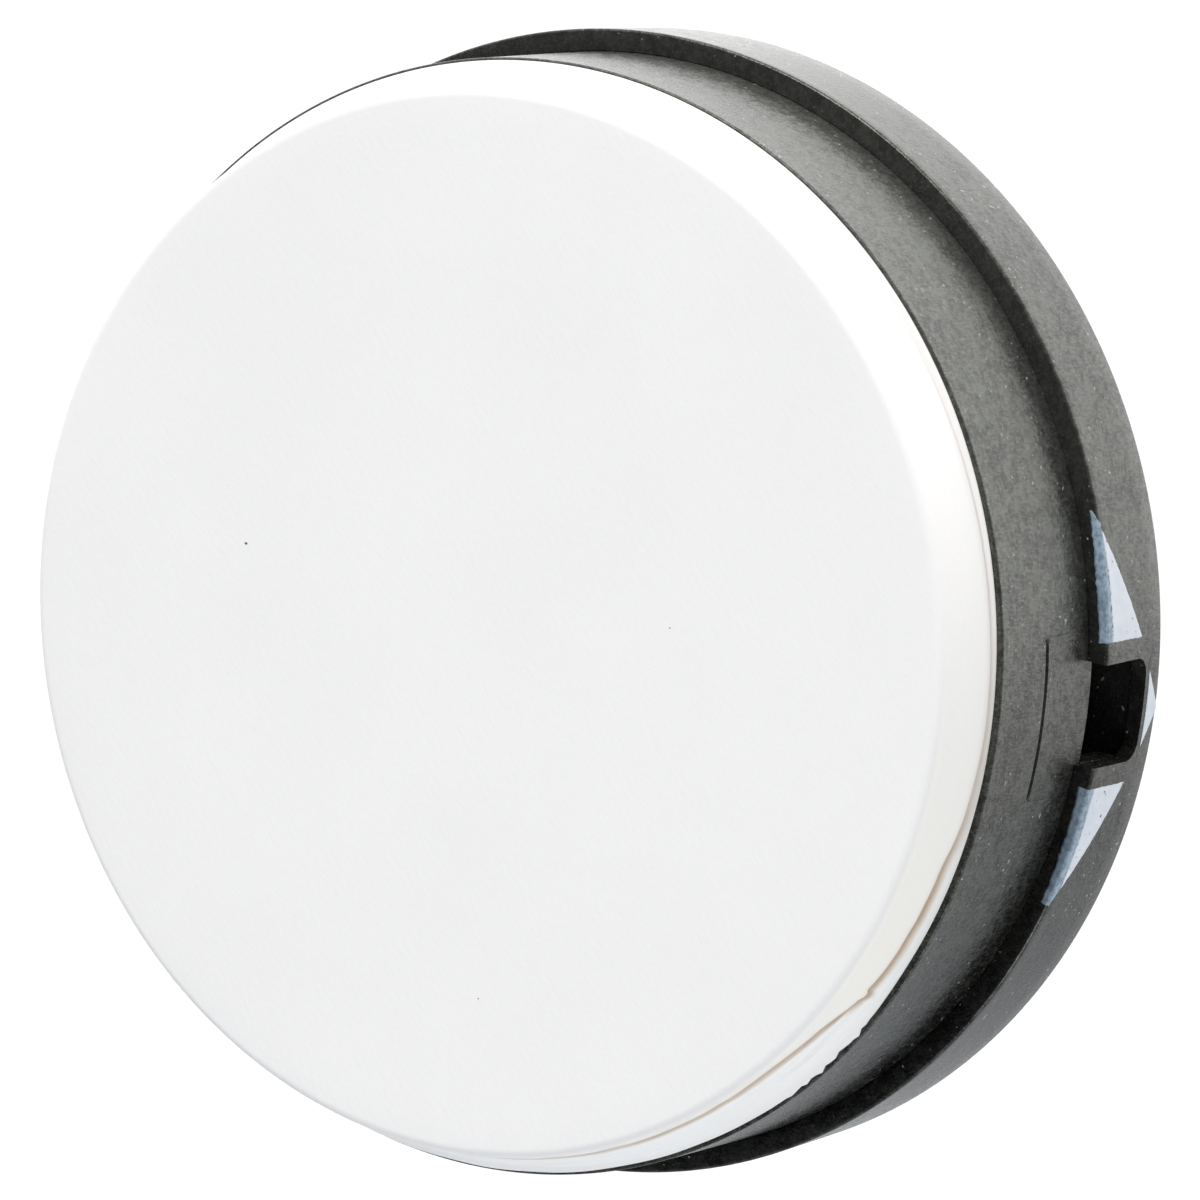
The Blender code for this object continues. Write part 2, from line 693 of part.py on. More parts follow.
def board_screws(frame, look):
    under_z = BOARD_REAR_Z - GAP
    head = pan_head(BOARD_SCREW_RADIUS, under_z, BOARD_HEAD_HEIGHT, BOARD_HEAD_RADIUS)
    mesh = mesh_of("board_screw", screw(BOARD_SCREW_RADIUS, BOARD_SCREW_TIP_Z, head), look)
    for number, (x, y) in enumerate(BOARD_SCREWS, 1):
        placed(f"board_screw_{number}", mesh, frame, (x, y, 0))


def feed_places():
    half = TERMINAL_PITCH / 2
    return ((TERMINAL_X, -half), (TERMINAL_X, half))


def feed_pins(frame, look):
    mesh = mesh_of("feed_pin", rod(FEED_PIN_RADIUS, *FEED_PIN_Z), look)
    for number, (x, y) in enumerate(feed_places(), 1):
        placed(f"feed_pin_{number}", mesh, frame, (x, y, 0))


def terminal_block(frame, look):
    """The two-way terminal behind the back cover, open at its side for the wires."""
    box_x = (TERMINAL_X - TERMINAL_HALF, TERMINAL_X + TERMINAL_HALF)
    box = block(box_x, (-TERMINAL_HALF, TERMINAL_HALF), TERMINAL_Z)
    body = solid("terminal_block", box, look, frame)
    wells = repeated(lambda: rod(TERMINAL_WELL_RADIUS, *TERMINAL_WELL_Z), feed_places())
    cut(body, "screw_wells", wells)
    cut(body, "feed_holes", repeated(lambda: rod(FEED_HOLE, *TERMINAL_FEED_Z), feed_places()))
    for number, (x, y) in enumerate(feed_places(), 1):
        way_x = (x + WIRE_WAY_X[0], x + WIRE_WAY_X[1])
        cut(body, f"wire_way_{number}", block(way_x, (y - WIRE_WAY_Y, y + WIRE_WAY_Y), WIRE_WAY_Z))


def terminal_screws(frame, look):
    low, high = TERMINAL_SCREW_Z
    head = [
        (TERMINAL_SCREW_RADIUS, low),
        (TERMINAL_SOCKET_RADIUS, low),
        (TERMINAL_SOCKET_RADIUS, low + TERMINAL_SOCKET_DEPTH),
    ]
    mesh = mesh_of("terminal_screw", screw(TERMINAL_SCREW_RADIUS, high, head), look)
    for number, (x, y) in enumerate(feed_places(), 1):
        placed(f"terminal_screw_{number}", mesh, frame, (x, y, 0))


def cable_grommet(frame, look):
    """The rubber grommet in the base's cable hole, flush with the wall."""
    barrel = GROMMET_HOLE - GAP
    top = BASE_FLOOR + GROMMET_LIP_THICKNESS
    profile = [
        (GROMMET_BORE, GROMMET_REAR_Z),
        (barrel, GROMMET_REAR_Z),
        (barrel, BASE_FLOOR + GAP),
        (GROMMET_LIP_RADIUS, BASE_FLOOR + GAP),
        (GROMMET_LIP_RADIUS - GAP, top),
        (GROMMET_MOUTH, top),
        (GROMMET_BORE, BASE_FLOOR + 0.4),
    ]
    grommet = moved(turned(profile, MEDIUM_ROUND), 0, GROMMET_Y)
    solid("cable_grommet", grommet, look, frame)


def release_catch(axis, look):
    """The slider that hooks under the base's lip until a tool in the slot pushes it in."""
    width = (-CATCH_HALF_WIDTH, CATCH_HALF_WIDTH)
    thickness = (-CATCH_HALF_THICKNESS, CATCH_HALF_THICKNESS)
    slider = block((CATCH_INNER_X, CATCH_PUSH_X), width, thickness)
    catch = solid("release_catch", slider, look, axis)
    cut(catch, "window", block(CATCH_WINDOW_X, CATCH_WINDOW_Y, (-2 * PASS, 2 * PASS)))


def catch_spring(frame, look):
    length = CATCH_INNER_X - CATCH_SPRING_STOP_X - 2 * GAP
    spring = coil(CATCH_SPRING_RADIUS, CATCH_SPRING_WIRE, 0, length, CATCH_SPRING_TURNS)
    mesh = mesh_of("catch_spring", spring, look)
    start = (CATCH_SPRING_STOP_X + GAP, 0, CATCH_Z)
    placed("catch_spring", mesh, frame, start, (0, math.radians(90), 0))


def build():
    clear_scene()
    nylon = finish("black_nylon", (0.035, 0.036, 0.036), 0.55)
    white = finish("white_elastomer", (0.86, 0.86, 0.85), 0.65)
    grey = finish("grey_plastic", (0.25, 0.26, 0.27), 0.5)
    acetal = finish("acetal", (0.75, 0.74, 0.70), 0.4)
    steel = finish("steel", (0.55, 0.56, 0.57), 0.3, 1.0)
    brass = finish("brass", (0.70, 0.52, 0.24), 0.3, 1.0)
    rubber = finish("rubber", (0.02, 0.02, 0.02), 0.8)
    laminate = finish("board_laminate", (0.03, 0.16, 0.07), 0.4)
    green = finish("green_plastic", (0.05, 0.30, 0.12), 0.45)

    wall_frame = empty("wall_frame", rotation=(math.radians(90), 0, 0))
    push_axis = empty("push_axis", wall_frame)
    plunger_axis = empty("plunger_axis", wall_frame)
    catch_axis = empty("catch_axis", wall_frame, (0, 0, CATCH_Z))

    mounting_base(wall_frame, nylon)
    housing(wall_frame, nylon)
    back_cover(wall_frame, nylon)
    cover_gasket(wall_frame, rubber)
    cover_screws(wall_frame, steel)
    chassis(wall_frame, grey)
    clamp_ring(wall_frame, steel)
    clamp_screws(wall_frame, steel)
    push_plate(push_axis, grey)
    cap_cover(push_axis, white)
    skirt(wall_frame, white)
    guide_pins(push_axis, steel)
    pin_clips(push_axis, steel)
    guide_bushes(wall_frame, acetal)
    return_springs(wall_frame, steel)
    switch(wall_frame, plunger_axis, grey, acetal)
    circuit_board(wall_frame, laminate)
    board_screws(wall_frame, steel)
    feed_pins(wall_frame, brass)
    terminal_block(wall_frame, green)
    terminal_screws(wall_frame, steel)
    cable_grommet(wall_frame, rubber)
    release_catch(catch_axis, nylon)
    catch_spring(wall_frame, steel)


build()
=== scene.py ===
"""Looks of the round pedestrian push button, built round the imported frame.

Shapes are drawn in millimetres in the button's own frame (x right, y up, z out of the
wall) and turned into the row frame, where the wall is Y = 0 and the cap faces -Y.
"""

import math

import bmesh
import bpy
from mathutils import Matrix, Vector, noise
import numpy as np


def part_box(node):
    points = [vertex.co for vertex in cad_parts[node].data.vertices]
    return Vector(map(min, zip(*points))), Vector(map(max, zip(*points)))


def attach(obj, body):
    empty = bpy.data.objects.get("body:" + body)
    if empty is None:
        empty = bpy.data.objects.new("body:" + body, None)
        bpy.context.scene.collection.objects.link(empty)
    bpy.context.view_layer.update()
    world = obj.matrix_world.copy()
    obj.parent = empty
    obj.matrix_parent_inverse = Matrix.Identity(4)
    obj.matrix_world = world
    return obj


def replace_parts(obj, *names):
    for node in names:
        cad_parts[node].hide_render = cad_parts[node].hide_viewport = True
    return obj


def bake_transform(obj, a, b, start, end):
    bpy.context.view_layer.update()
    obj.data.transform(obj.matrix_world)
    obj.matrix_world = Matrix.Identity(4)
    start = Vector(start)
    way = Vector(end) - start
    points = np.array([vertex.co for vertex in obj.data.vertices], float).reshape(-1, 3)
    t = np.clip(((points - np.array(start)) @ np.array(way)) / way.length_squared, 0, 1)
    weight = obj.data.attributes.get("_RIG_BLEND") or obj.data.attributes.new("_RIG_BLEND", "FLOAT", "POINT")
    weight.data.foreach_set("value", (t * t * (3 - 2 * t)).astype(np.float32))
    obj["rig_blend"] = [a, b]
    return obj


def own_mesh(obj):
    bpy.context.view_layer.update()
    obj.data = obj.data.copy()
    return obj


MM = 0.001
SHARP_ANGLE = math.radians(32)
TO_ROW = Matrix.Rotation(math.radians(90), 4, "X") @ Matrix.Scale(MM, 4)

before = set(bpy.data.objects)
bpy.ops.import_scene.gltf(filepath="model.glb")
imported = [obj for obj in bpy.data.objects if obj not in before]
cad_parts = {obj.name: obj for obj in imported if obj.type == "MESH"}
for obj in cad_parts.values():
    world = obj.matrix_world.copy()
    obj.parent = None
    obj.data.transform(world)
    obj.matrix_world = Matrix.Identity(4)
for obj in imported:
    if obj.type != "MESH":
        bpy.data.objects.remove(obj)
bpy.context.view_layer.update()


def reach(node):
    """A round node's outer radius and its lowest and highest z, in millimetres."""
    low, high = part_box(node)
    return high.z / MM, -high.y / MM, -low.y / MM


# Driving sizes, read from the frame, in millimetres
RIM_RADIUS, _, RIM_Z = reach("mounting_base")
BODY_RADIUS, BODY_REAR_Z, FRONT_Z = reach("housing")
CAP_RADIUS, _, FACE_Z = reach("cap_cover")
_, _, PLATE_FRONT_Z = reach("push_plate")

# The black pieces' outer surfaces lie this far inside the CAD's, which leaves room for paint
INSET = 0.03
# The housing's radius where it meets the rim's front, and the rim's radius on the wall
CORNER_RADIUS = BODY_RADIUS - 0.5
RIM_REAR_RADIUS = RIM_RADIUS - 0.55

# Release slot
SLOT_LOW_Y = -3.75
SLOT_HIGH_Y = 3.85
SLOT_REAR_Z = 2.1
SLOT_FRONT_Z = 7.7
SLOT_CORNER = 1.3


# ---------------------------------------------------------------- mesh tools


def signed(angle):
    """The same angle between -180 and 180 degrees."""
    return (angle + 180) % 360 - 180


def on_circle(radius, angle, z):
    """The point at a radius and an angle in degrees, at height z."""
    turn = math.radians(angle)
    return radius * math.cos(turn), radius * math.sin(turn), z


def smoothstep(low, high, value):
    """Eases from 0 at low to 1 at high; low may be the larger of the two."""
    t = min(1.0, max(0.0, (value - low) / (high - low)))
    return t * t * (3 - 2 * t)


def along(points, value):
    """The result at value on the line through (value, result) points."""
    if value <= points[0][0]:
        return points[0][1]
    for (low, start), (high, end) in zip(points, points[1:]):
        if value <= high:
            t = (value - low) / (high - low)
            return start + (end - start) * t
    return points[-1][1]


def piece(name, bm, look=None, body="fixed_unit"):
    """The bmesh, drawn in millimetres in the button's frame, as a piece that rides on a body."""
    bmesh.ops.recalc_face_normals(bm, faces=bm.faces)
    mesh = bpy.data.meshes.new(name)
    bm.to_mesh(mesh)
    bm.free()
    mesh.transform(TO_ROW)
    mesh.shade_smooth()
    mesh.set_sharp_from_angle(angle=SHARP_ANGLE)
    if look:
        mesh.materials.append(look)
    obj = bpy.data.objects.new(name, mesh)
    bpy.context.scene.collection.objects.link(obj)
    if body:
        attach(obj, body)
    return obj


def stitch(bm, lines, closed=False):
    """Joins each line of points to the next with quads; closed also joins each line's ends."""
    for one, other in zip(lines, lines[1:]):
        for index in range(len(one) if closed else len(one) - 1):
            after = (index + 1) % len(one)
            bm.faces.new((one[index], one[after], other[after], other[index]))


def turned(profile, angles, filled=False, shape=None):
    """The (radius, z) profile turned through the angles in degrees.

    A filled profile ends in two flat discs, and any other one is a closed outline.
    shape(radius, z, angle) may give each point another radius.
    """
    bm = bmesh.new()
    rings = []
    for radius, z in profile:
        radii = [shape(radius, z, angle) if shape else radius for angle in angles]
        rings.append([bm.verts.new(on_circle(r, angle, z)) for r, angle in zip(radii, angles)])
    if filled:
        bm.faces.new(rings[0])
        bm.faces.new(rings[-1])
        stitch(bm, rings, closed=True)
    else:
        stitch(bm, rings + rings[:1], closed=True)
    return bm


def even_angles(count):
    return [360 * step / count for step in range(count)]


def arc(centre, radii, start, end, steps):
    """Points on an ellipse's arc in the (radius, z) plane, angles in degrees."""
    points = []
    for step in range(steps + 1):
        turn = math.radians(start + (end - start) * step / steps)
        radius = centre[0] + radii[0] * math.cos(turn)
        points.append((radius, centre[1] + radii[1] * math.sin(turn)))
    return points


def block(x, y, z):
    """A box between the (low, high) limits along each axis."""
    bm = bmesh.new()
    middle = [(low + high) / 2 for low, high in (x, y, z)]
    size = [high - low for low, high in (x, y, z)]
    place = Matrix.Translation(middle) @ Matrix.Diagonal((*size, 1))
    bmesh.ops.create_cube(bm, size=1, matrix=place)
    return bm


def moved(bm, x, y):
    bmesh.ops.translate(bm, vec=(x, y, 0), verts=bm.verts)
    return bm


def change(target, bm, operation):
    """Applies a Boolean with the bmesh to the target, and leaves no helper behind."""
    helper = piece("helper", bm, body=None)
    modifier = target.modifiers.new("change", "BOOLEAN")
    modifier.operation = operation
    modifier.solver = "EXACT"
    modifier.object = helper
    bpy.context.view_layer.update()
    graph = bpy.context.evaluated_depsgraph_get()
    result = bpy.data.meshes.new_from_object(target.evaluated_get(graph), depsgraph=graph)
    target.modifiers.remove(modifier)
    old = target.data
    result.name = old.name
    target.data = result
    bpy.data.meshes.remove(old)
    bpy.data.objects.remove(helper)
    result.shade_smooth()
    result.set_sharp_from_angle(angle=SHARP_ANGLE)


def slot_cutter(front_z, near_x, far_x):
    """The slot's opening, with rounded corners on the wall's side."""
    bm = bmesh.new()
    steps = 8
    outline = [(SLOT_LOW_Y, front_z)]
    corner_z = SLOT_REAR_Z + SLOT_CORNER
    for centre_y, start in ((SLOT_LOW_Y + SLOT_CORNER, 180), (SLOT_HIGH_Y - SLOT_CORNER, 270)):
        for step in range(steps + 1):
            turn = math.radians(start + 90 * step / steps)
            y = centre_y + SLOT_CORNER * math.cos(turn)
            outline.append((y, corner_z + SLOT_CORNER * math.sin(turn)))
    outline.append((SLOT_HIGH_Y, front_z))
    face = bm.faces.new([bm.verts.new((near_x, y, z)) for y, z in outline])
    grown = bmesh.ops.extrude_face_region(bm, geom=[face])
    corners = [item for item in grown["geom"] if isinstance(item, bmesh.types.BMVert)]
    bmesh.ops.translate(bm, vec=(far_x - near_x, 0, 0), verts=corners)
    return bm


# ---------------------------------------------------------------- materials


class Look:
    """A Principled material and short calls that add nodes to it."""

    def __init__(self, name, colour, roughness, metallic=0.0):
        self.material = bpy.data.materials.new(name)
        self.material.use_nodes = True
        self.tree = self.material.node_tree
        self.shader = self.tree.nodes["Principled BSDF"]
        self.set("Base Color", (*colour, 1.0))
        self.set("Roughness", roughness)
        self.set("Metallic", metallic)
        self.place = self.node("ShaderNodeTexCoord").outputs["Object"]

    def set(self, socket, value):
        self.shader.inputs[socket].default_value = value

    def node(self, kind, **settings):
        made = self.tree.nodes.new(kind)
        for key, value in settings.items():
            setattr(made, key, value)
        return made

    def link(self, output, socket):
        self.tree.links.new(output, socket)

    def mapped(self, scale, turn=(0, 0, 0)):
        """Object coordinates, turned and then scaled."""
        mapping = self.node("ShaderNodeMapping", vector_type="TEXTURE")
        mapping.inputs["Rotation"].default_value = turn
        mapping.inputs["Scale"].default_value = [1 / value for value in scale]
        self.link(self.place, mapping.inputs["Vector"])
        return mapping.outputs["Vector"]

    def noise(self, scale, detail=2.0, rough=0.5, turn=(0, 0, 0)):
        """Noise with features about 1/scale metres across; scale is one number or one per axis."""
        scale = scale if isinstance(scale, tuple) else (scale,) * 3
        made = self.node("ShaderNodeTexNoise")
        made.inputs["Scale"].default_value = 1.0
        made.inputs["Detail"].default_value = detail
        made.inputs["Roughness"].default_value = rough
        self.link(self.mapped(scale, turn), made.inputs["Vector"])
        return made.outputs["Fac"]

    def ranged(self, value, low, high, to_low=0.0, to_high=1.0):
        made = self.node("ShaderNodeMapRange")
        made.inputs["From Min"].default_value = low
        made.inputs["From Max"].default_value = high
        made.inputs["To Min"].default_value = to_low
        made.inputs["To Max"].default_value = to_high
        self.link(value, made.inputs["Value"])
        return made.outputs["Result"]

    def maths(self, operation, first, second=0.0):
        made = self.node("ShaderNodeMath", operation=operation)
        for socket, value in zip(made.inputs, (first, second)):
            if isinstance(value, (int, float)):
                socket.default_value = value
            else:
                self.link(value, socket)
        return made.outputs["Value"]

    def mix(self, amount, first, second):
        """Two colours mixed by the amount; each is a tuple or another node's output."""
        made = self.node("ShaderNodeMix", data_type="RGBA")
        self.link(amount, made.inputs["Factor"])
        for socket, value in ((made.inputs[6], first), (made.inputs[7], second)):
            if isinstance(value, tuple):
                socket.default_value = (*value, 1.0)
            else:
                self.link(value, socket)
        return made.outputs[2]

    def coordinate(self, axis):
        """One of the object coordinates, in metres."""
        made = self.node("ShaderNodeSeparateXYZ")
        self.link(self.place, made.inputs["Vector"])
        return made.outputs[axis]

    def attribute(self, name):
        return self.node("ShaderNodeAttribute", attribute_name=name).outputs["Fac"]

    def colour(self, output):
        self.link(output, self.shader.inputs["Base Color"])

    def roughness(self, output):
        self.link(output, self.shader.inputs["Roughness"])

    def bump(self, height, distance, strength=1.0):
        made = self.node("ShaderNodeBump")
        made.inputs["Distance"].default_value = distance
        made.inputs["Strength"].default_value = strength
        self.link(height, made.inputs["Height"])
        self.link(made.outputs["Normal"], self.shader.inputs["Normal"])


# Painted light: the black plastics are coloured lighter towards the top, as if lit from above, between these
# heights in metres
TOP_LIGHT_COLOUR = (0.104, 0.107, 0.098)
TOP_LIGHT_HEIGHTS = (-0.02, 0.042)
SPECK_COLOUR = (0.30, 0.30, 0.29)


def nylon(name, dark, pale, top_light, gloss=1.0, tooth=0.00005):
    """Black glass-filled nylon: mottled between dark and pale, with short fibres and scratches.

    top_light is how strong the painted light is that makes it lighter towards the top, gloss scales the
    reflections, and tooth is the height of the moulded grain in metres.
    """
    look = Look(name, dark, 0.24)
    look.set("Specular Tint", (0.95, 1.0, 0.87, 1.0))
    mottle = look.noise(2600, 3, 0.65)
    fibres = look.noise((5200, 1500, 5200), 2, 0.6)
    blotch = look.noise(1050, 3, 0.6)
    cloud = look.noise(230, 2)
    grain = look.maths("MULTIPLY", look.ranged(mottle, 0.3, 0.72), look.ranged(fibres, 0.3, 0.7))
    grain = look.maths("ADD", grain, look.ranged(blotch, 0.35, 0.65, -0.15, 0.25))
    grain = look.maths("ADD", grain, look.ranged(cloud, 0.3, 0.7, -0.1, 0.1))
    speck = look.ranged(look.noise(2900, 0), 0.80, 0.84)
    scratch = look.noise((6500, 450, 6500), 0, turn=(0.6, 0.25, 0.8))
    worn = look.ranged(look.noise(160, 1), 0.5, 0.62, 0.0, 0.35)
    scratch = look.maths("MULTIPLY", look.ranged(scratch, 0.80, 0.84), worn)
    speck = look.maths("MAXIMUM", speck, scratch)
    # Painted light from above: the colour grows lighter towards the top, broken up by the grain
    film = look.ranged(look.coordinate("Z"), *TOP_LIGHT_HEIGHTS)
    top_light_share = look.maths("MULTIPLY", film, look.ranged(grain, -1.1, 1.1))
    plain = look.mix(grain, dark, pale)
    top_lit = look.mix(look.maths("MULTIPLY", top_light_share, top_light), plain, TOP_LIGHT_COLOUR)
    look.colour(look.mix(speck, top_lit, SPECK_COLOUR))
    level = look.ranged(grain, 0.0, 0.7, 0.28 * gloss, 0.76 * gloss)
    look.link(level, look.shader.inputs["Specular IOR Level"])
    look.roughness(look.ranged(grain, 0.0, 0.8, 0.22, 0.36))
    look.bump(look.maths("ADD", mottle, fibres), tooth, 0.7)
    return look.material


# Painted shade: the brown darkening in the crease under the cap's lip
CREASE_SHADE_COLOUR = (0.52, 0.40, 0.29)
AGED_COLOUR = (0.85, 0.83, 0.78)


def soft_white(name, colour, grain_height):
    """Matte white elastomer with a fine slanting grain.

    It is darkened brown by painted crease shade where its crease_shade attribute says, and yellowed where
    its aged one does.
    """
    look = Look(name, colour, 0.62)
    slant = (0, math.radians(-38), 0)
    grain = look.noise((2600, 2600, 700), 2, 0.6, slant)
    tooth = look.noise(3800, 2, 0.6)
    cloud = look.noise(70, 2)
    shade = look.ranged(look.maths("ADD", grain, tooth), 0.6, 1.4)
    tint = look.mix(look.ranged(cloud, 0.35, 0.65), colour, tuple(c * 0.985 for c in colour))
    tint = look.mix(look.maths("MULTIPLY", shade, 0.05), tint, (0.6, 0.6, 0.59))
    tint = look.mix(look.attribute("aged"), tint, AGED_COLOUR)
    # Painted shade: the crease under the lip is coloured dark brown
    look.colour(look.mix(look.attribute("crease_shade"), tint, CREASE_SHADE_COLOUR))
    look.roughness(look.ranged(tooth, 0.3, 0.7, 0.55, 0.7))
    look.bump(look.maths("ADD", grain, look.maths("MULTIPLY", tooth, 0.6)), grain_height, 0.6)
    return look.material


# ---------------------------------------------------------------- housing

HOUSING_EDGE = 0.16
SLIT_Z = 14.2
SLIT_HALF_ANGLE = 8.7
SLIT_DEPTH = 0.5
SLIT_END = 1.1
WITNESS_DEPTH = 0.015

# Inside: the bore at the front, the shelf, the main bore, and the bore at the rear
FRONT_BORE = 38.2
SHELF_BORE = 32.2
SHELF_Z = (17.0, 19.2)
MAIN_BORE = 36.8
SHOULDER_Z = 11.7
REAR_BORE = 38.3

# Bosses for the cover's screws, and pilot holes as (radius, (low z, high z))
BOSS_RADIUS = 3.0
BOSS_Z = (11.8, 18.0)
COVER_PILOT = (1.35, (11.0, 16.8))
CLAMP_PILOT = (1.15, (16.0, 20.0))

# Recess for the base's hook, and the notch behind the slot, as limits along x, y and z
HOOK_RECESS = ((-39.2, -37.0), (-4.0, 4.0), (5.0, 7.3))
NOTCH = ((36.0, 43.0), (SLOT_LOW_Y + 0.05, SLOT_HIGH_Y - 0.05), (1.0, SLOT_FRONT_Z))


def rod(node, radius, z):
    """A cylinder between the two z heights, on the axis of a round node that lies along z."""
    low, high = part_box(node)
    bm = turned([(radius, z[0]), (radius, z[1])], even_angles(40), filled=True)
    return moved(bm, (low.x + high.x) / 2 / MM, (low.z + high.z) / 2 / MM)


def body_radius(z):
    """The housing's outer radius, which grows a little from the rim's front to its own."""
    share = max(0.0, z - RIM_Z) / (FRONT_Z - RIM_Z)
    return CORNER_RADIUS + (BODY_RADIUS - CORNER_RADIUS) * share


def housing_shape(radius, z, angle):
    """Presses the slit and the two witness lines behind it into the outer wall."""
    if radius < CORNER_RADIUS - 0.5 or z < RIM_Z:
        return radius
    turn = abs(signed(angle))
    ends = 1 - smoothstep(SLIT_HALF_ANGLE - SLIT_END, SLIT_HALF_ANGLE, turn)
    slit = SLIT_DEPTH * ends * (1 - smoothstep(0.08, 0.2, abs(z - SLIT_Z)))
    near_line = 1 - smoothstep(0.04, 0.12, abs(turn - SLIT_HALF_ANGLE))
    line = WITNESS_DEPTH * near_line * (z < SLIT_Z)
    return radius - slit - line


def housing_angles():
    """Angles round the housing, closer together at the slit's ends and the witness lines."""
    angles = set(round(angle, 3) for angle in even_angles(240))
    for side in (-1, 1):
        for offset in (-0.14, -0.1, -0.05, 0, 0.05, 0.1, 0.14):
            angles.add(round((side * SLIT_HALF_ANGLE + offset) % 360, 3))
        for offset in (0.3, 0.6, 0.9, 1.2):
            angles.add(round((side * (SLIT_HALF_ANGLE - offset)) % 360, 3))
    return sorted(angles)


def housing(look):
    """The outer shell, with the shelf and bosses inside it."""
    edge = HOUSING_EDGE
    outer_z = [BODY_REAR_Z, 5.0, SLOT_FRONT_Z - 0.4, RIM_Z, 9.2, 10.6, 12.4, 13.6]
    slit_steps = (-0.22, -0.15, -0.1, -0.05, 0, 0.05, 0.1, 0.15, 0.22)
    outer_z += [SLIT_Z + offset for offset in slit_steps]
    outer_z += [15.0, 16.8, 18.8, FRONT_Z - edge - 0.1]
    profile = [(body_radius(z) - INSET, z) for z in outer_z]
    profile += arc((BODY_RADIUS - INSET - edge, FRONT_Z - edge), (edge, edge), 0, 90, 5)
    profile += [
        (FRONT_BORE + 0.1, FRONT_Z),
        (FRONT_BORE, FRONT_Z - 0.1),
        (FRONT_BORE, SHELF_Z[1]),
        (SHELF_BORE, SHELF_Z[1]),
        (SHELF_BORE, SHELF_Z[0]),
        (MAIN_BORE, SHELF_Z[0]),
        (MAIN_BORE, SHOULDER_Z),
        (REAR_BORE, SHOULDER_Z),
        (REAR_BORE, BODY_REAR_Z),
    ]
    bm = turned(profile, housing_angles(), shape=housing_shape)
    shell = piece("housing_shell", bm, look)
    for number in (1, 2, 3, 4):
        change(shell, rod(f"cover_screw_{number}", BOSS_RADIUS, BOSS_Z), "UNION")
        change(shell, rod(f"cover_screw_{number}", *COVER_PILOT), "DIFFERENCE")
    for number in (1, 2, 3):
        change(shell, rod(f"clamp_screw_{number}", *CLAMP_PILOT), "DIFFERENCE")
    change(shell, block(*HOOK_RECESS), "DIFFERENCE")
    change(shell, block(*NOTCH), "DIFFERENCE")
    return shell


# ---------------------------------------------------------------- wall base

RIM_EDGE = 0.22
REAR_EDGE = 0.2
BORE_EDGE = 0.04
BASE_BORE = CORNER_RADIUS + 0.02
BASE_FLOOR = 1.9

# Turned profiles on the back, as (radius, z): the recess's border, the gasket's groove,
# the pads and holes for the wall screws and the lead, and the ejector pins' marks
BACK_RECESS = 0.35
RECESS_BORDER = [(34.7, BACK_RECESS), (34.95, 0.05), (35.05, 0)]
GROOVE = [(36.3, 0), (36.4, 0.08), (36.45, 0.6), (37.75, 0.6), (37.8, 0.08), (37.9, 0)]
SCREW_PAD = [(4.75, 1.0), (4.75, 0.05), (4.7, 0)]
CABLE_PAD = [(8.6, 1.0), (8.6, 0.05), (8.55, 0)]
SCREW_HOLE = [(2.35, -1), (2.35, 0.05), (2.1, 0.3), (2.1, 0.6), (4.0, 2.0), (4.0, 3.0)]
CABLE_HOLE = [(6.2, -1), (6.2, 0.05), (6.0, 0.25), (6.0, 3.0)]
EJECTOR_MARK = [(1.5, -0.5), (1.5, BACK_RECESS + 0.12)]
SCREW_Y = (-30.0, 30.0)
CABLE_Y = -17.0
EJECTOR_CIRCLE = 29.0
EJECTOR_ANGLES = (30, 150, 210, 330)

# Posts on the floor and the lips on them: the catch's post and lip, the hook's post and lip
POST_FOOT_Z = BASE_FLOOR - 0.9
POSTS = (
    ((21.3, 24.0), (-2.4, 2.4), (POST_FOOT_Z, 7.4)),
    ((18.9, 22.5), (-2.4, 2.4), (5.6, 7.4)),
    ((-37.2, -35.8), (-3.5, 3.5), (POST_FOOT_Z, 6.8)),
    ((-38.9, -36.5), (-3.5, 3.5), (5.4, 6.8)),
)


def rim_radius(z):
    """The rim's outer radius, which grows a little from the wall to its front."""
    rear = RIM_REAR_RADIUS - INSET
    return rear + (RIM_RADIUS - INSET - rear) * z / RIM_Z


def round_change(target, profile, count, x, y, operation):
    """A Boolean with a filled turned profile whose axis stands at x and y."""
    change(target, moved(turned(profile, even_angles(count), filled=True), x, y), operation)


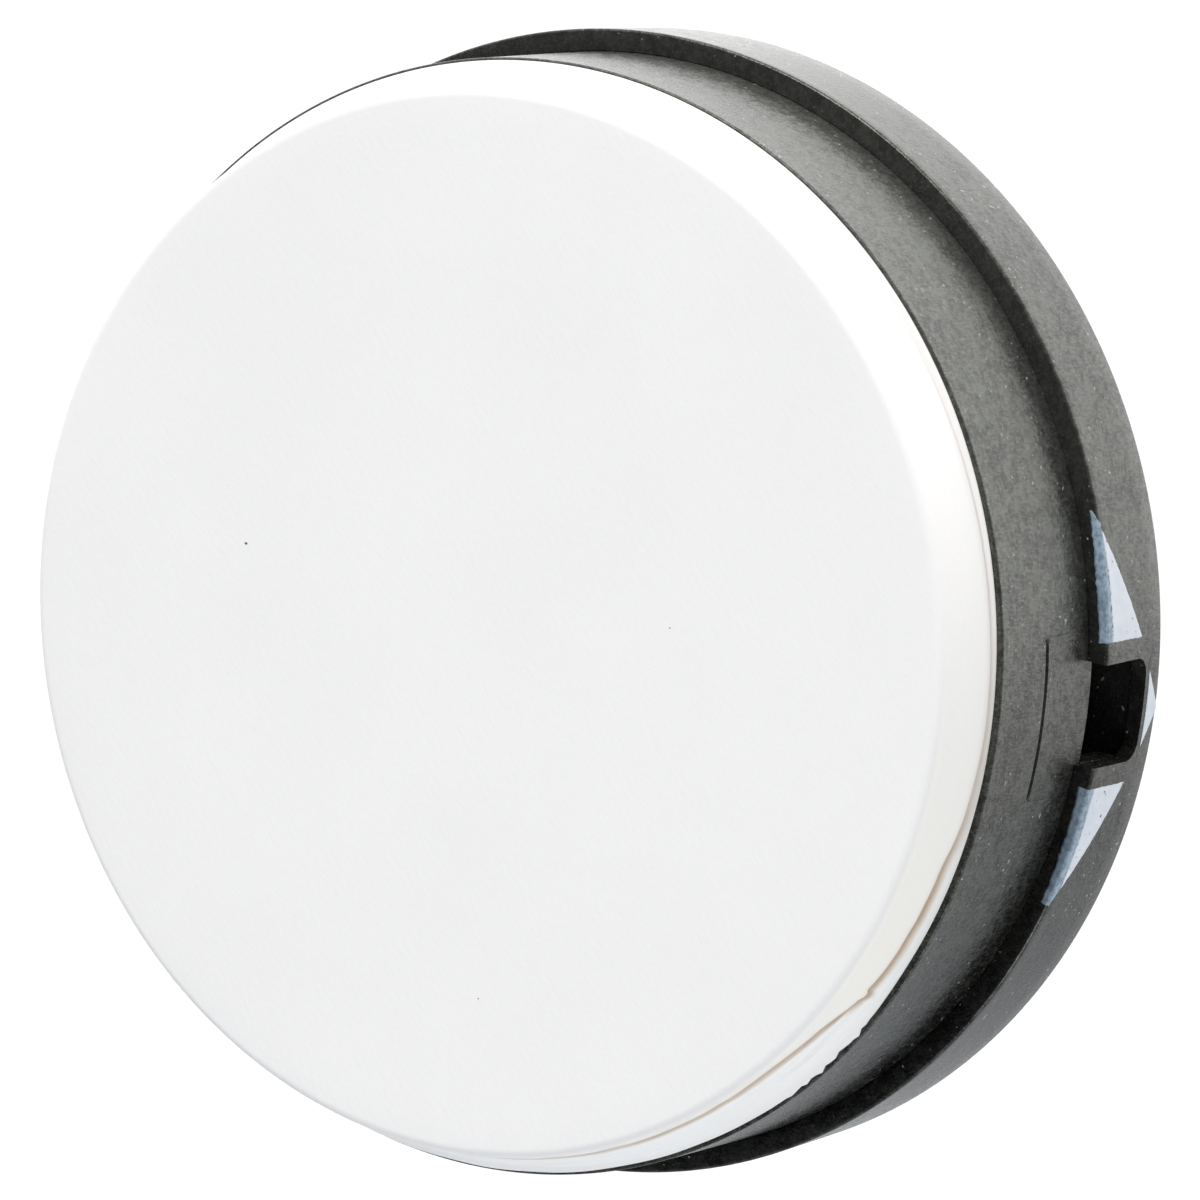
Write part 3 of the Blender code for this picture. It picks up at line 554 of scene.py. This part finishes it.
def wall_base(look, front_shaded_look):
    """The cup on the wall; the flat ring at the rim's front gets a darker copy of its look, as painted
    shade.
    """
    rim = RIM_RADIUS - INSET
    rear = RIM_REAR_RADIUS - INSET
    edge = RIM_EDGE
    bore = (BASE_BORE + BORE_EDGE, RIM_Z - BORE_EDGE)
    profile = RECESS_BORDER + GROOVE
    profile += arc((rear - REAR_EDGE, REAR_EDGE), (REAR_EDGE, REAR_EDGE), -90, 0, 3)
    profile += [(rim_radius(z), z) for z in (2.0, 4.0, 6.0, 7.4)]
    profile += arc((rim - edge, RIM_Z - edge), (edge, edge), 0, 90, 5)
    profile += arc(bore, (BORE_EDGE, BORE_EDGE), 90, 180, 2)
    profile += [(BASE_BORE, BASE_FLOOR)]
    base = piece("wall_base", turned(profile, even_angles(300), filled=True), look)
    change(base, slot_cutter(RIM_Z + 1, 39.0, 44.0), "DIFFERENCE")
    for y in SCREW_Y:
        round_change(base, SCREW_PAD, 64, 0, y, "UNION")
    round_change(base, CABLE_PAD, 80, 0, CABLE_Y, "UNION")
    for y in SCREW_Y:
        round_change(base, SCREW_HOLE, 48, 0, y, "DIFFERENCE")
    round_change(base, CABLE_HOLE, 64, 0, CABLE_Y, "DIFFERENCE")
    for angle in EJECTOR_ANGLES:
        x, y, _ = on_circle(EJECTOR_CIRCLE, angle, 0)
        round_change(base, EJECTOR_MARK, 40, x, y, "DIFFERENCE")
    for limits in POSTS:
        change(base, block(*limits), "UNION")
    base.data.materials.append(front_shaded_look)
    for face in base.data.polygons:
        if face.normal.y < -0.9 and abs(face.center.y + RIM_Z * MM) < 0.0001:
            face.material_index = 1
    return base


# ---------------------------------------------------------------- cap and skirt

FACE_EDGE = (0.75, 0.65)
FACE_RADIUS = 38.75
SIDE_TOP_Z = FACE_Z - FACE_EDGE[1]
CAP_INSIDE_Z = PLATE_FRONT_Z + 0.26
CAP_INSIDE_RADIUS = 37.7

# Values round the button as (angle, value), with angles from -180 to 180 degrees
LIP_HEIGHTS = (
    (-180, 0.5),
    (-140, 0.5),
    (-105, 4.2),
    (-46, 4.3),
    (-41, 4.0),
    (-37, 3.45),
    (-33, 2.4),
    (-28, 1.75),
    (-16, 1.45),
    (-10, 0.85),
    (0, 0.5),
    (180, 0.5),
)
# How strongly the seam under the lip shows round the button: the depth of the skirt's groove and the
# strength of the painted crease shade
SEAM = ((-100, 0.15), (-60, 0.9), (-20, 1.0), (-8, 0.55), (10, 0.2), (60, 0.1))
AGED = ((-150, 0.0), (-95, 0.5), (-60, 0.8), (-25, 0.9), (10, 0.35), (45, 0.0))
FOOT_SPREAD = ((-150, 0.9), (-100, 0.6), (-60, 0.1), (5, 0.15), (45, 0.85), (80, 1.0))
NICK_ANGLE = -31.6
NICK_DEPTH = 0.32

# The skirt's foot: its radius at the housing's front, and the bead clamped inside
SKIRT_FOOT_RADIUS = BODY_RADIUS - 0.17
BEAD_RADII = (36.86, 38.0)
BEAD_REAR_Z = 19.45


def lip_height(angle):
    """How far above the housing's front the cap's lower lip ends, round the button."""
    turn = signed(angle)
    nick = 1 - smoothstep(0.1, 0.95, abs(turn - NICK_ANGLE))
    waver = 0.12 * noise.noise(Vector((turn * 0.33, 1.7, 0.0))) * smoothstep(-8, -14, turn)
    return along(LIP_HEIGHTS, turn) + waver - NICK_DEPTH * nick


def side_radius(z):
    """The cap's sloping side, from the face's edge down to the housing's front."""
    t = (SIDE_TOP_Z - z) / (SIDE_TOP_Z - FRONT_Z)
    return FACE_RADIUS + (CAP_RADIUS - FACE_RADIUS) * min(1.0, max(0.0, t))


def soft_angles():
    """Angles round the cap and skirt, closer together at the nick in the lip."""
    fine = [NICK_ANGLE + 0.15 * step for step in range(-8, 9)]
    spread = [a for a in even_angles(480) if abs(a - 360 - NICK_ANGLE) > 1.5]
    return sorted(spread + [angle + 360 for angle in fine])


def marked_line(bm, angle, points):
    """A line of points at the angle; each is (radius, z, painted crease shade, aged)."""
    crease_shade = bm.verts.layers.float["crease_shade"]
    tint = bm.verts.layers.float["aged"]
    line = []
    for radius, z, dark, old in points:
        vertex = bm.verts.new(on_circle(radius, angle, z))
        vertex[crease_shade] = dark
        vertex[tint] = old
        line.append(vertex)
    return line


def soft_bmesh():
    """A bmesh whose points say how much painted crease shade they carry and how aged they are."""
    bm = bmesh.new()
    bm.verts.layers.float.new("crease_shade")
    bm.verts.layers.float.new("aged")
    return bm


def cap(look):
    """The cap: a flat face, a round edge, a sloping side, and the lip above the skirt."""
    flat_radius = FACE_RADIUS - FACE_EDGE[0]
    face = [flat_radius * share for share in (0.12, 0.3, 0.5, 0.7, 0.85, 0.95)]
    profile = [(radius, FACE_Z) for radius in face]
    profile += arc((flat_radius, SIDE_TOP_Z), FACE_EDGE, 90, 0, 8)
    side_steps = 8
    bm = soft_bmesh()
    lines = []
    for angle in soft_angles():
        lip = FRONT_Z + lip_height(angle)
        seam = along(SEAM, signed(angle))
        old = along(AGED, signed(angle))
        points = []
        for radius, z in profile:
            points.append((radius, z, 0.0, old * smoothstep(FACE_Z - 0.1, SIDE_TOP_Z, z)))
        for step in range(1, side_steps + 1):
            z = SIDE_TOP_Z + (lip + 0.6 - SIDE_TOP_Z) * step / side_steps
            points.append((side_radius(z), z, 0.0, old))
        edge = side_radius(lip)
        # The lip's rounding; the third values are painted crease shade
        points += [
            (side_radius(lip + 0.3) - 0.01, lip + 0.3, 0.12 * seam, old),
            (side_radius(lip + 0.14) - 0.03, lip + 0.14, 0.35 * seam, old),
            (edge - 0.06, lip + 0.05, 0.7 * seam, old),
            (edge - 0.10, lip, seam, old),
            (edge - 0.24, lip + 0.02, seam, old),
            (edge - 0.34, lip + 0.25, seam, 0.0),
            (min(edge - 0.34, 38.3), CAP_INSIDE_Z + 0.35, 0.0, 0.0),
            (CAP_INSIDE_RADIUS, CAP_INSIDE_Z, 0.0, 0.0),
            (30.0, CAP_INSIDE_Z, 0.0, 0.0),
        ]
        lines.append(marked_line(bm, angle, points))
    stitch(bm, lines + lines[:1])
    bm.faces.new([line[0] for line in lines])
    bm.faces.new([line[-1] for line in lines])
    return piece("cap_skin", bm, look, body=None)


def skirt(look):
    """The soft boot below the lip: it bulges and wrinkles where the lip stands high."""
    bm = soft_bmesh()
    lines = []
    wall_steps = 22
    base = FRONT_Z + 0.03
    for angle in soft_angles():
        around_x, around_y, _ = on_circle(1, angle, 0)
        side = signed(angle)
        height = lip_height(angle)
        lip = FRONT_Z + height
        top = min(lip + 0.45, 24.9)
        seam = along(SEAM, side)
        tall = smoothstep(0.9, 3.0, height)
        slump = 0.26 * smoothstep(-26, -42, side) * smoothstep(-165, -130, side)
        chips = smoothstep(-33, -37, side) * smoothstep(-52, -47, side)
        ragged = noise.noise(Vector((side * 1.7, 4.0, 0.0)))
        old = along(AGED, side)
        foot = (SKIRT_FOOT_RADIUS - CAP_RADIUS) * along(FOOT_SPREAD, side)
        points = []
        for step in range(wall_steps + 1):
            z = base + (top - base) * step / wall_steps
            groove = smoothstep(lip - 0.42, lip - 0.02, z) * (0.12 + 0.26 * seam)
            belly = math.sin(math.pi * min(1.0, (z - base) / max(0.3, lip - base)))
            fold = noise.noise(Vector((around_x * 3.2, around_y * 3.2, z * 1.5)))
            pleat = noise.noise(Vector((around_x * 9, around_y * 9, z * 3.5 + 9)))
            radius = side_radius(z) - 0.05 - groove
            radius += tall * (0.30 * fold + 0.10 * pleat) * belly
            radius += foot * (1 - smoothstep(base, base + 0.45, z))
            radius += slump * (1 - smoothstep(base, base + 0.6, z)) * (1 + 0.3 * pleat)
            radius += 0.26 * chips * ragged * (1 - smoothstep(base, base + 0.35, z))
            # Painted shade in the crease just under the lip
            dark = seam * smoothstep(lip - 1.0, lip - 0.15, z)
            points.append((min(radius, SKIRT_FOOT_RADIUS + 0.1), z, dark, 0.3 * old))
        points += [
            (points[-1][0] - 0.25, top + 0.05, 0.0, 0.0),
            (37.1, top, 0.0, 0.0),
            (37.0, 21.5, 0.0, 0.0),
            (BEAD_RADII[0], 21.2, 0.0, 0.0),
            (BEAD_RADII[0], BEAD_REAR_Z, 0.0, 0.0),
            (BEAD_RADII[1], BEAD_REAR_Z, 0.0, 0.0),
            (BEAD_RADII[1], base, 0.0, 0.0),
        ]
        lines.append(marked_line(bm, angle, points))
    stitch(bm, lines + lines[:1], closed=True)
    return piece("skirt_boot", bm, look, body=None)


# Specks of dirt on the face, as (x, y, radius)
SPECKS = ((-21.0, 1.6, 0.13), (15.5, 2.9, 0.07), (3.4, -27.0, 0.07))


def dirt_specks(look):
    """Tiny dark specks caught in the cap's face."""
    bm = bmesh.new()
    for x, y, radius in SPECKS:
        place = Matrix.Translation((x, y, FACE_Z)) @ Matrix.Diagonal((1.0, 0.7, 0.12, 1.0))
        bmesh.ops.create_icosphere(bm, subdivisions=2, radius=radius, matrix=place)
    piece("cap_specks", bm, look, body="push_cap")


# ---------------------------------------------------------------- painted arrowhead

PAINT_LIFT = 0.02
PAINT_THICKNESS = 0.03
ARROW_HALF_ANGLE = 20.6

# The upper and lower halves, from one angle to the other
UPPER_ANGLES = (7.5, 20.9)
LOWER_ANGLES = (-20.2, -7.4)
# The upper half's sloping edge: the angle of its point and its fall in z per degree.
# On the rim's side it ends UPPER_TAPER degrees before it does on the flat ring.
UPPER_TIP_ANGLE = 19.5
UPPER_FALL = 0.44
UPPER_TAPER = 1.4
# How far the paint goes in over the rim's flat front, as (angle, depth)
UPPER_RING = ((UPPER_ANGLES[0], 0.72), (13.5, 0.82), (UPPER_ANGLES[1], 0.6))
LOWER_RING = ((LOWER_ANGLES[0], 0.6), (LOWER_ANGLES[1], 0.85))
# How far behind the rim's front the painted shade of the flat ring reaches onto the rim's side, as (angle
# without its sign, depth)
RING_SHADE_UPPER = ((6.0, 0.8), (14.0, 0.5), (20.2, 0.15))
RING_SHADE_LOWER = ((6.0, 0.7), (20.2, 0.8))


def rough_edge(value, seed, size):
    """A small uneven offset that changes along the value."""
    return size * noise.noise(Vector((value * 2.3, seed * 7.1, 0.4)))


def paint_film(name, bm, look):
    """The open sheet as a piece, thickened towards the rim."""
    film = piece(name, bm, look)
    modifier = film.modifiers.new("thickness", "SOLIDIFY")
    modifier.thickness = PAINT_THICKNESS * MM
    modifier.offset = -1


def slope(angle):
    """Where the arrowhead's lower half and tip end towards the wall."""
    return RIM_Z * abs(angle) / ARROW_HALF_ANGLE


def upper_slope(angle):
    """Where the arrowhead's upper half ends towards the wall."""
    return RIM_Z - UPPER_FALL * (UPPER_TIP_ANGLE - angle)


def paint_patch(name, angles, taper, tip_z, ring_depth, seed, look):
    """A patch of paint between two angles that wraps over the rim's front edge.

    It ends taper degrees earlier on the rim's side. tip_z(angle) is where it ends towards
    the wall, and the (angle, depth) points of ring_depth say how far it goes in over the
    flat ring at the front. The seed picks its uneven edges.
    """
    bm = bmesh.new()
    ring_shade = bm.verts.layers.float.new("ring_shade")
    start, end = angles
    steps = 90
    rows = 20
    bend_rows = 5
    ring_rows = 3
    last = rows + bend_rows + ring_rows
    edge = RIM_EDGE
    bend_z = RIM_Z - edge
    bend_radius = RIM_RADIUS - INSET - edge
    lines = []
    for step in range(steps + 1):
        share = step / steps
        line = []
        for row in range(last + 1):
            wander = rough_edge(row, seed, 0.12) * (1 - share)
            wander += rough_edge(row, seed + 3, 0.1) * share
            point = end - taper * (1 - smoothstep(rows, last, row))
            angle = start + (point - start) * share + wander
            low = min(tip_z(angle) + rough_edge(angle, seed + 1, 0.06), bend_z - 0.01)
            if row <= rows:
                z = low + (bend_z - low) * row / rows
                radius = rim_radius(z) + PAINT_LIFT
            elif row <= rows + bend_rows:
                turn = math.radians(90 * (row - rows) / bend_rows)
                z = bend_z + (edge + PAINT_LIFT) * math.sin(turn)
                radius = bend_radius + (edge + PAINT_LIFT) * math.cos(turn)
            else:
                depth = along(ring_depth, angle) + rough_edge(angle, seed + 2, 0.1)
                z = RIM_Z + PAINT_LIFT
                radius = bend_radius - (depth - edge) * (row - rows - bend_rows) / ring_rows
            vertex = bm.verts.new(on_circle(radius, angle, z))
            # Painted shade: paint on the flat ring, and a little way onto the rim's side, is marked to be
            # darker
            shade_reach = along(RING_SHADE_UPPER if angle > 0 else RING_SHADE_LOWER, abs(angle))
            vertex[ring_shade] = smoothstep(RIM_Z - shade_reach - 0.12, RIM_Z - shade_reach, z)
            line.append(vertex)
        lines.append(line)
    stitch(bm, lines)
    paint_film(name, bm, look)


def arrowhead(look):
    """The painted arrowhead: halves above and below the slot, and a tip towards the wall."""
    paint_patch("paint_upper", UPPER_ANGLES, UPPER_TAPER, upper_slope, UPPER_RING, 1, look)
    paint_patch("paint_lower", LOWER_ANGLES, 0.0, slope, LOWER_RING, 5, look)
    bm = bmesh.new()
    steps = 40
    rows = 8
    front = SLOT_REAR_Z - 0.5
    half = ARROW_HALF_ANGLE * front / RIM_Z
    lines = []
    for step in range(steps + 1):
        angle = half * (2 * step / steps - 1)
        low = max(slope(angle), 0.06)
        line = []
        for row in range(rows + 1):
            z = low + (front - low) * row / rows
            line.append(bm.verts.new(on_circle(rim_radius(z) + PAINT_LIFT, angle, z)))
        lines.append(line)
    stitch(bm, lines)
    bmesh.ops.remove_doubles(bm, verts=bm.verts, dist=0.001)
    paint_film("paint_tip", bm, look)


def paint_look():
    """Blue-white paint with pinholes, darker and bluer where its ring_shade attribute says: painted shade on
    the rim's flat front.
    """
    look = Look("arrow_paint", (0.64, 0.68, 0.73), 0.5)
    flecks = look.ranged(look.noise(2300, 2), 0.70, 0.74)
    cloud = look.ranged(look.noise(900, 2), 0.3, 0.7)
    base = look.mix(cloud, (0.55, 0.59, 0.65), (0.62, 0.65, 0.70))
    # Painted shade: the darker, bluer paint where the rim's flat front lies in shade
    patchy = look.ranged(look.noise(2600, 3, 0.65), 0.36, 0.62)
    shaded_paint = look.mix(patchy, (0.14, 0.20, 0.26), (0.29, 0.37, 0.45))
    ring_shade = look.attribute("ring_shade")
    base = look.mix(ring_shade, base, shaded_paint)
    off_border = look.maths("ABSOLUTE", look.maths("SUBTRACT", ring_shade, 0.5))
    border = look.ranged(off_border, 0.25, 0.45, 1, 0)
    cracked = look.maths("MULTIPLY", border, look.ranged(look.noise(2100, 2), 0.56, 0.60))
    flecks = look.maths("MAXIMUM", flecks, cracked)
    look.colour(look.mix(flecks, base, (0.03, 0.04, 0.06)))
    look.bump(look.noise(1800, 2), 0.00004, 0.5)
    return look.material


# ---------------------------------------------------------------- springs

# Each spring's wire radius, its number of turns, and the room left round it
RETURN_WIRE = 0.27
RETURN_TURNS = 3
CATCH_WIRE = 0.21
CATCH_TURNS = 5
SPRING_ROOM = 0.01


def coil(radius, wire, low, high, turns):
    """A round-wire spring along z whose end turns lie almost flat."""
    bm = bmesh.new()
    steps = int(turns * 36)
    sides = 12
    rings = []
    for step in range(steps + 1):
        share = step / steps
        eased = share - 0.11 * math.sin(math.tau * share)
        angle = 360 * turns * share
        z = low + wire + (high - low - 2 * wire) * eased
        ring = []
        for side in range(sides):
            around = math.tau * side / sides
            r = radius + wire * math.cos(around)
            ring.append(bm.verts.new(on_circle(r, angle, z + wire * math.sin(around))))
        rings.append(ring)
    stitch(bm, rings, closed=True)
    bm.faces.new(rings[0])
    bm.faces.new(rings[-1])
    return bm


def springs(look):
    """The springs, as round-wire coils in place of the frame's spring nodes."""
    for number in (1, 2, 3):
        node = f"return_spring_{number}"
        low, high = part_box(node)
        centre = (low + high) / 2
        rear, front = -high.y / MM, -low.y / MM
        radius = (high.x - low.x) / 2 / MM - RETURN_WIRE - SPRING_ROOM
        bm = coil(radius, RETURN_WIRE, rear, front, RETURN_TURNS)
        spring = piece(f"{node}_wire", moved(bm, centre.x / MM, centre.z / MM), look)
        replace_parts(spring, node)
        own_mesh(spring)
    low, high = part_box("catch_spring")
    length = (high.x - low.x) / MM
    radius = (high.z - low.z) / 2 / MM - CATCH_WIRE - SPRING_ROOM
    bm = coil(radius, CATCH_WIRE, 0, length, CATCH_TURNS)
    middle = -(low.y + high.y) / 2 / MM
    turn = Matrix.Translation((low.x / MM, 0, middle)) @ Matrix.Rotation(math.radians(90), 4, "Y")
    bmesh.ops.transform(bm, matrix=turn, verts=bm.verts)
    spring = piece("catch_spring_wire", bm, look)
    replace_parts(spring, "catch_spring")
    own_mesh(spring)


# ---------------------------------------------------------------- inner pieces' materials


def moulded(name, colour, roughness, grain=2200):
    """Injection-moulded plastic with a fine spark-eroded texture and faint flow clouds."""
    look = Look(name, colour, roughness)
    cloud = look.ranged(look.noise(120, 3), 0.3, 0.7)
    tooth = look.noise(grain, 2, 0.6)
    shade = tuple(value * 0.82 for value in colour)
    look.colour(look.mix(cloud, colour, shade))
    look.roughness(look.ranged(tooth, 0.3, 0.7, roughness - 0.08, roughness + 0.1))
    look.bump(tooth, 0.00004, 0.5)
    return look.material


def turned_metal(name, colour, roughness, lines):
    """Machined metal with small stains; lines is the scale of its fine lines along each axis."""
    look = Look(name, colour, roughness, metallic=1.0)
    cut = look.noise(lines, 2, 0.5)
    stain = look.ranged(look.noise(900, 2), 0.45, 0.75)
    look.colour(look.mix(stain, colour, tuple(value * 0.72 for value in colour)))
    look.roughness(look.ranged(cut, 0.3, 0.7, roughness - 0.1, roughness + 0.15))
    look.bump(cut, 0.00002, 0.4)
    return look.material


def rubber(name, colour):
    """Matte rubber with a dusty bloom."""
    look = Look(name, colour, 0.8)
    bloom = look.ranged(look.noise(500, 4, 0.6), 0.45, 0.75)
    look.colour(look.mix(bloom, colour, tuple(value * 2.4 + 0.01 for value in colour)))
    look.roughness(look.ranged(bloom, 0, 1, 0.7, 0.92))
    look.bump(look.noise(3000, 3), 0.00004, 0.6)
    return look.material


def laminate():
    """A circuit board's green mask, with the glass weave showing through and dull traces."""
    look = Look("board_mask", (0.02, 0.14, 0.06), 0.35)
    across = look.node("ShaderNodeTexWave", bands_direction="X")
    along_z = look.node("ShaderNodeTexWave", bands_direction="Z")
    for wave in (across, along_z):
        wave.inputs["Scale"].default_value = 420
        wave.inputs["Distortion"].default_value = 0.6
        look.link(look.place, wave.inputs["Vector"])
    weave = look.maths("MULTIPLY", across.outputs["Fac"], along_z.outputs["Fac"])
    trace = look.ranged(look.noise((120, 900, 520), 0), 0.52, 0.54)
    base = look.mix(look.maths("MULTIPLY", weave, 0.3), (0.02, 0.14, 0.06), (0.05, 0.24, 0.10))
    look.colour(look.mix(trace, base, (0.04, 0.22, 0.09)))
    look.bump(look.maths("ADD", weave, trace), 0.00003, 0.5)
    return look.material


def dress_inner_nodes():
    """Gives every node that the frame still shows its finished material."""
    grey = moulded("chassis_grey", (0.20, 0.21, 0.22), 0.5)
    dark = moulded("switch_black", (0.03, 0.03, 0.032), 0.45)
    catch_black = nylon("catch_black", (0.010, 0.010, 0.010), (0.034, 0.034, 0.031), 0.2)
    cover_black = nylon("cover_black", (0.012, 0.012, 0.012), (0.036, 0.036, 0.033), 0.2)
    acetal = moulded("acetal", (0.72, 0.71, 0.67), 0.38, 1500)
    steel = turned_metal("screw_steel", (0.60, 0.61, 0.62), 0.3, (900, 7000, 900))
    pin_steel = turned_metal("pin_steel", (0.66, 0.67, 0.68), 0.22, (500, 6000, 500))
    sheet_steel = turned_metal("sheet_steel", (0.58, 0.59, 0.60), 0.34, (5000, 900, 500))
    brass = turned_metal("tinned_brass", (0.72, 0.58, 0.32), 0.3, (900, 5000, 900))
    gasket = rubber("gasket_rubber", (0.018, 0.018, 0.018))
    grommet = rubber("grommet_rubber", (0.024, 0.023, 0.022))
    looks = {
        "push_plate": moulded("plate_grey", (0.25, 0.26, 0.27), 0.48),
        "chassis": grey,
        "switch_body": dark,
        "switch_plunger": acetal,
        "guide_bush": acetal,
        "back_cover": cover_black,
        "release_catch": catch_black,
        "cover_gasket": gasket,
        "cable_grommet": grommet,
        "circuit_board": laminate(),
        "terminal_block": moulded("terminal_green", (0.04, 0.28, 0.11), 0.42),
        "clamp_ring": sheet_steel,
        "pin_clip": sheet_steel,
        "guide_pin": pin_steel,
        "feed_pin": brass,
        "clamp_screw": steel,
        "cover_screw": steel,
        "board_screw": steel,
        "terminal_screw": steel,
    }
    for name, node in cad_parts.items():
        kind = name.rstrip("0123456789").rstrip("_")
        if kind in looks:
            node.data = node.data.copy()
            node.data.materials.clear()
            node.data.materials.append(looks[kind])


# ---------------------------------------------------------------- set

# The camera's axes, its distance, and how far it is shifted to the right and up
CAMERA_RIGHT = Vector((0.83372, 0.53828, 0.12317))
CAMERA_UP = Vector((-0.20197, 0.08966, 0.97528))
CAMERA_DISTANCE = 2.2066
CAMERA_SHIFT = (0.00534, 0.00122)
CAMERA_LENS = 918.0

FLOOR_Z = -0.6
FLOOR_SIZE = 8
FLOOR_FAR_FRONT = (0.08, 0.08, 0.08)
FLOOR_NEAR = (0.44, 0.46, 0.49)
FLOOR_BEHIND = (0.94, 0.94, 0.94)

# The surround's strength is the sum of two steps along a slope that rises from in front and
# below to behind and above. Each is (where it starts, where it ends, strength before, after).
SURROUND_SLOPE = (0.05, 0.90, 0.30)
SURROUND = ((-0.7, 0.3, 0.06, 1.12), (0.4, 0.8, 0.0, 0.9))

# Lamps as (place, size, power)
KEY = ((-0.30, -1.0, 1.35), 0.9, 26.5)
FILL = ((0.418, -0.266, -0.57), 0.4, 2.6)


def camera():
    """The camera that sees the button from the front, a little to its right and above."""
    right = CAMERA_RIGHT
    up = CAMERA_UP
    back = right.cross(up)
    aim = Vector((0, -FRONT_Z * MM, 0))
    data = bpy.data.cameras.new("camera")
    data.lens = CAMERA_LENS
    data.sensor_width = 36.0
    data.clip_end = 50
    obj = bpy.data.objects.new("camera", data)
    bpy.context.scene.collection.objects.link(obj)
    place = aim + CAMERA_SHIFT[0] * right + CAMERA_SHIFT[1] * up + CAMERA_DISTANCE * back
    turn = Matrix((right, up, back)).transposed().to_4x4()
    obj.matrix_world = Matrix.Translation(place) @ turn
    bpy.context.scene.camera = obj


def area_light(name, place, size, power):
    """A round lamp that shines on the button."""
    data = bpy.data.lights.new(name, "AREA")
    data.shape = "DISK"
    data.size = size
    data.energy = power
    obj = bpy.data.objects.new(name, data)
    bpy.context.scene.collection.objects.link(obj)
    obj.location = place
    obj.rotation_mode = "QUATERNION"
    obj.rotation_quaternion = (-Vector(place)).to_track_quat("-Z", "Y")


def ground():
    """A floor that is dim far in front, where the black pieces reflect it, and white behind."""
    bm = bmesh.new()
    bmesh.ops.create_grid(bm, x_segments=1, y_segments=1, size=FLOOR_SIZE)
    mesh = bpy.data.meshes.new("floor")
    bm.to_mesh(mesh)
    bm.free()
    floor = bpy.data.objects.new("floor", mesh)
    floor.location = (0, 0, FLOOR_Z)
    bpy.context.scene.collection.objects.link(floor)
    pale = Look("floor_paint", FLOOR_BEHIND, 0.8)
    depth = pale.coordinate("Y")
    nearby = pale.mix(pale.ranged(depth, -2.6, -1.6), FLOOR_FAR_FRONT, FLOOR_NEAR)
    pale.colour(pale.mix(pale.ranged(depth, 0.9, 2.24), nearby, FLOOR_BEHIND))
    mesh.materials.append(pale.material)


def surround():
    """A soft white surround, darkest in front and below and brightest behind and above."""
    world = bpy.data.worlds.new("studio")
    world.use_nodes = True
    bpy.context.scene.world = world
    nodes = world.node_tree.nodes
    links = world.node_tree.links
    coords = nodes.new("ShaderNodeTexCoord")
    rise = nodes.new("ShaderNodeVectorMath")
    rise.operation = "DOT_PRODUCT"
    rise.inputs[1].default_value = SURROUND_SLOPE
    links.new(coords.outputs["Generated"], rise.inputs[0])
    total = nodes.new("ShaderNodeMath")
    for socket, spread in zip(total.inputs, SURROUND):
        step = nodes.new("ShaderNodeMapRange")
        step.interpolation_type = "SMOOTHSTEP"
        for name, value in zip(("From Min", "From Max", "To Min", "To Max"), spread):
            step.inputs[name].default_value = value
        links.new(rise.outputs["Value"], step.inputs["Value"])
        links.new(step.outputs["Result"], socket)
    background = nodes["Background"]
    background.inputs["Color"].default_value = (1, 1, 1, 1)
    links.new(total.outputs["Value"], background.inputs["Strength"])


# ---------------------------------------------------------------- build

bpy.context.scene.view_settings.view_transform = "Standard"
camera()
ground()
surround()
area_light("key", *KEY)
area_light("fill", *FILL)

BLACK = (0.002, 0.002, 0.0019)
HOUSING_GREY = (0.036, 0.036, 0.0325)
BASE_GREY = (0.013, 0.013, 0.012)
HOUSING_BLACK = nylon("housing_black", BLACK, HOUSING_GREY, 0.9)
BASE_BLACK = nylon("base_black", BLACK, BASE_GREY, 0.6, tooth=0.00003)
# Painted shade: the base's black with half its reflections and less painted top light, for the rim's flat
# front
RIM_FRONT_SHADED = nylon("rim_front_shaded_black", BLACK, BASE_GREY, 0.5, gloss=0.5)
WHITE = soft_white("cap_white", (0.882, 0.874, 0.866), 0.00004)
SKIRT_WHITE = soft_white("skirt_white", (0.88, 0.88, 0.88), 0.00002)

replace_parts(housing(HOUSING_BLACK), "housing")
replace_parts(wall_base(BASE_BLACK, RIM_FRONT_SHADED), "mounting_base")
cap_skin = cap(WHITE)
skirt_boot = skirt(SKIRT_WHITE)

# Between these two points the soft pieces go from standing still to moving with the cap
press_start = (0, -(FRONT_Z + 0.1) * MM, 0)
press_end = (0, -(FRONT_Z + 3.8) * MM, 0)
for soft, node, slot in (
    (cap_skin, "cap_cover", "cap_elastomer"),
    (skirt_boot, "skirt", "skirt_elastomer"),
):
    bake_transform(soft, "fixed_unit", "push_cap", start=press_start, end=press_end)
    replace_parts(soft, node)
dirt_specks(moulded("dirt", (0.12, 0.11, 0.10), 0.8))
arrowhead(paint_look())
springs(turned_metal("spring_wire", (0.50, 0.51, 0.52), 0.3, (2000, 2000, 2000)))
dress_inner_nodes()
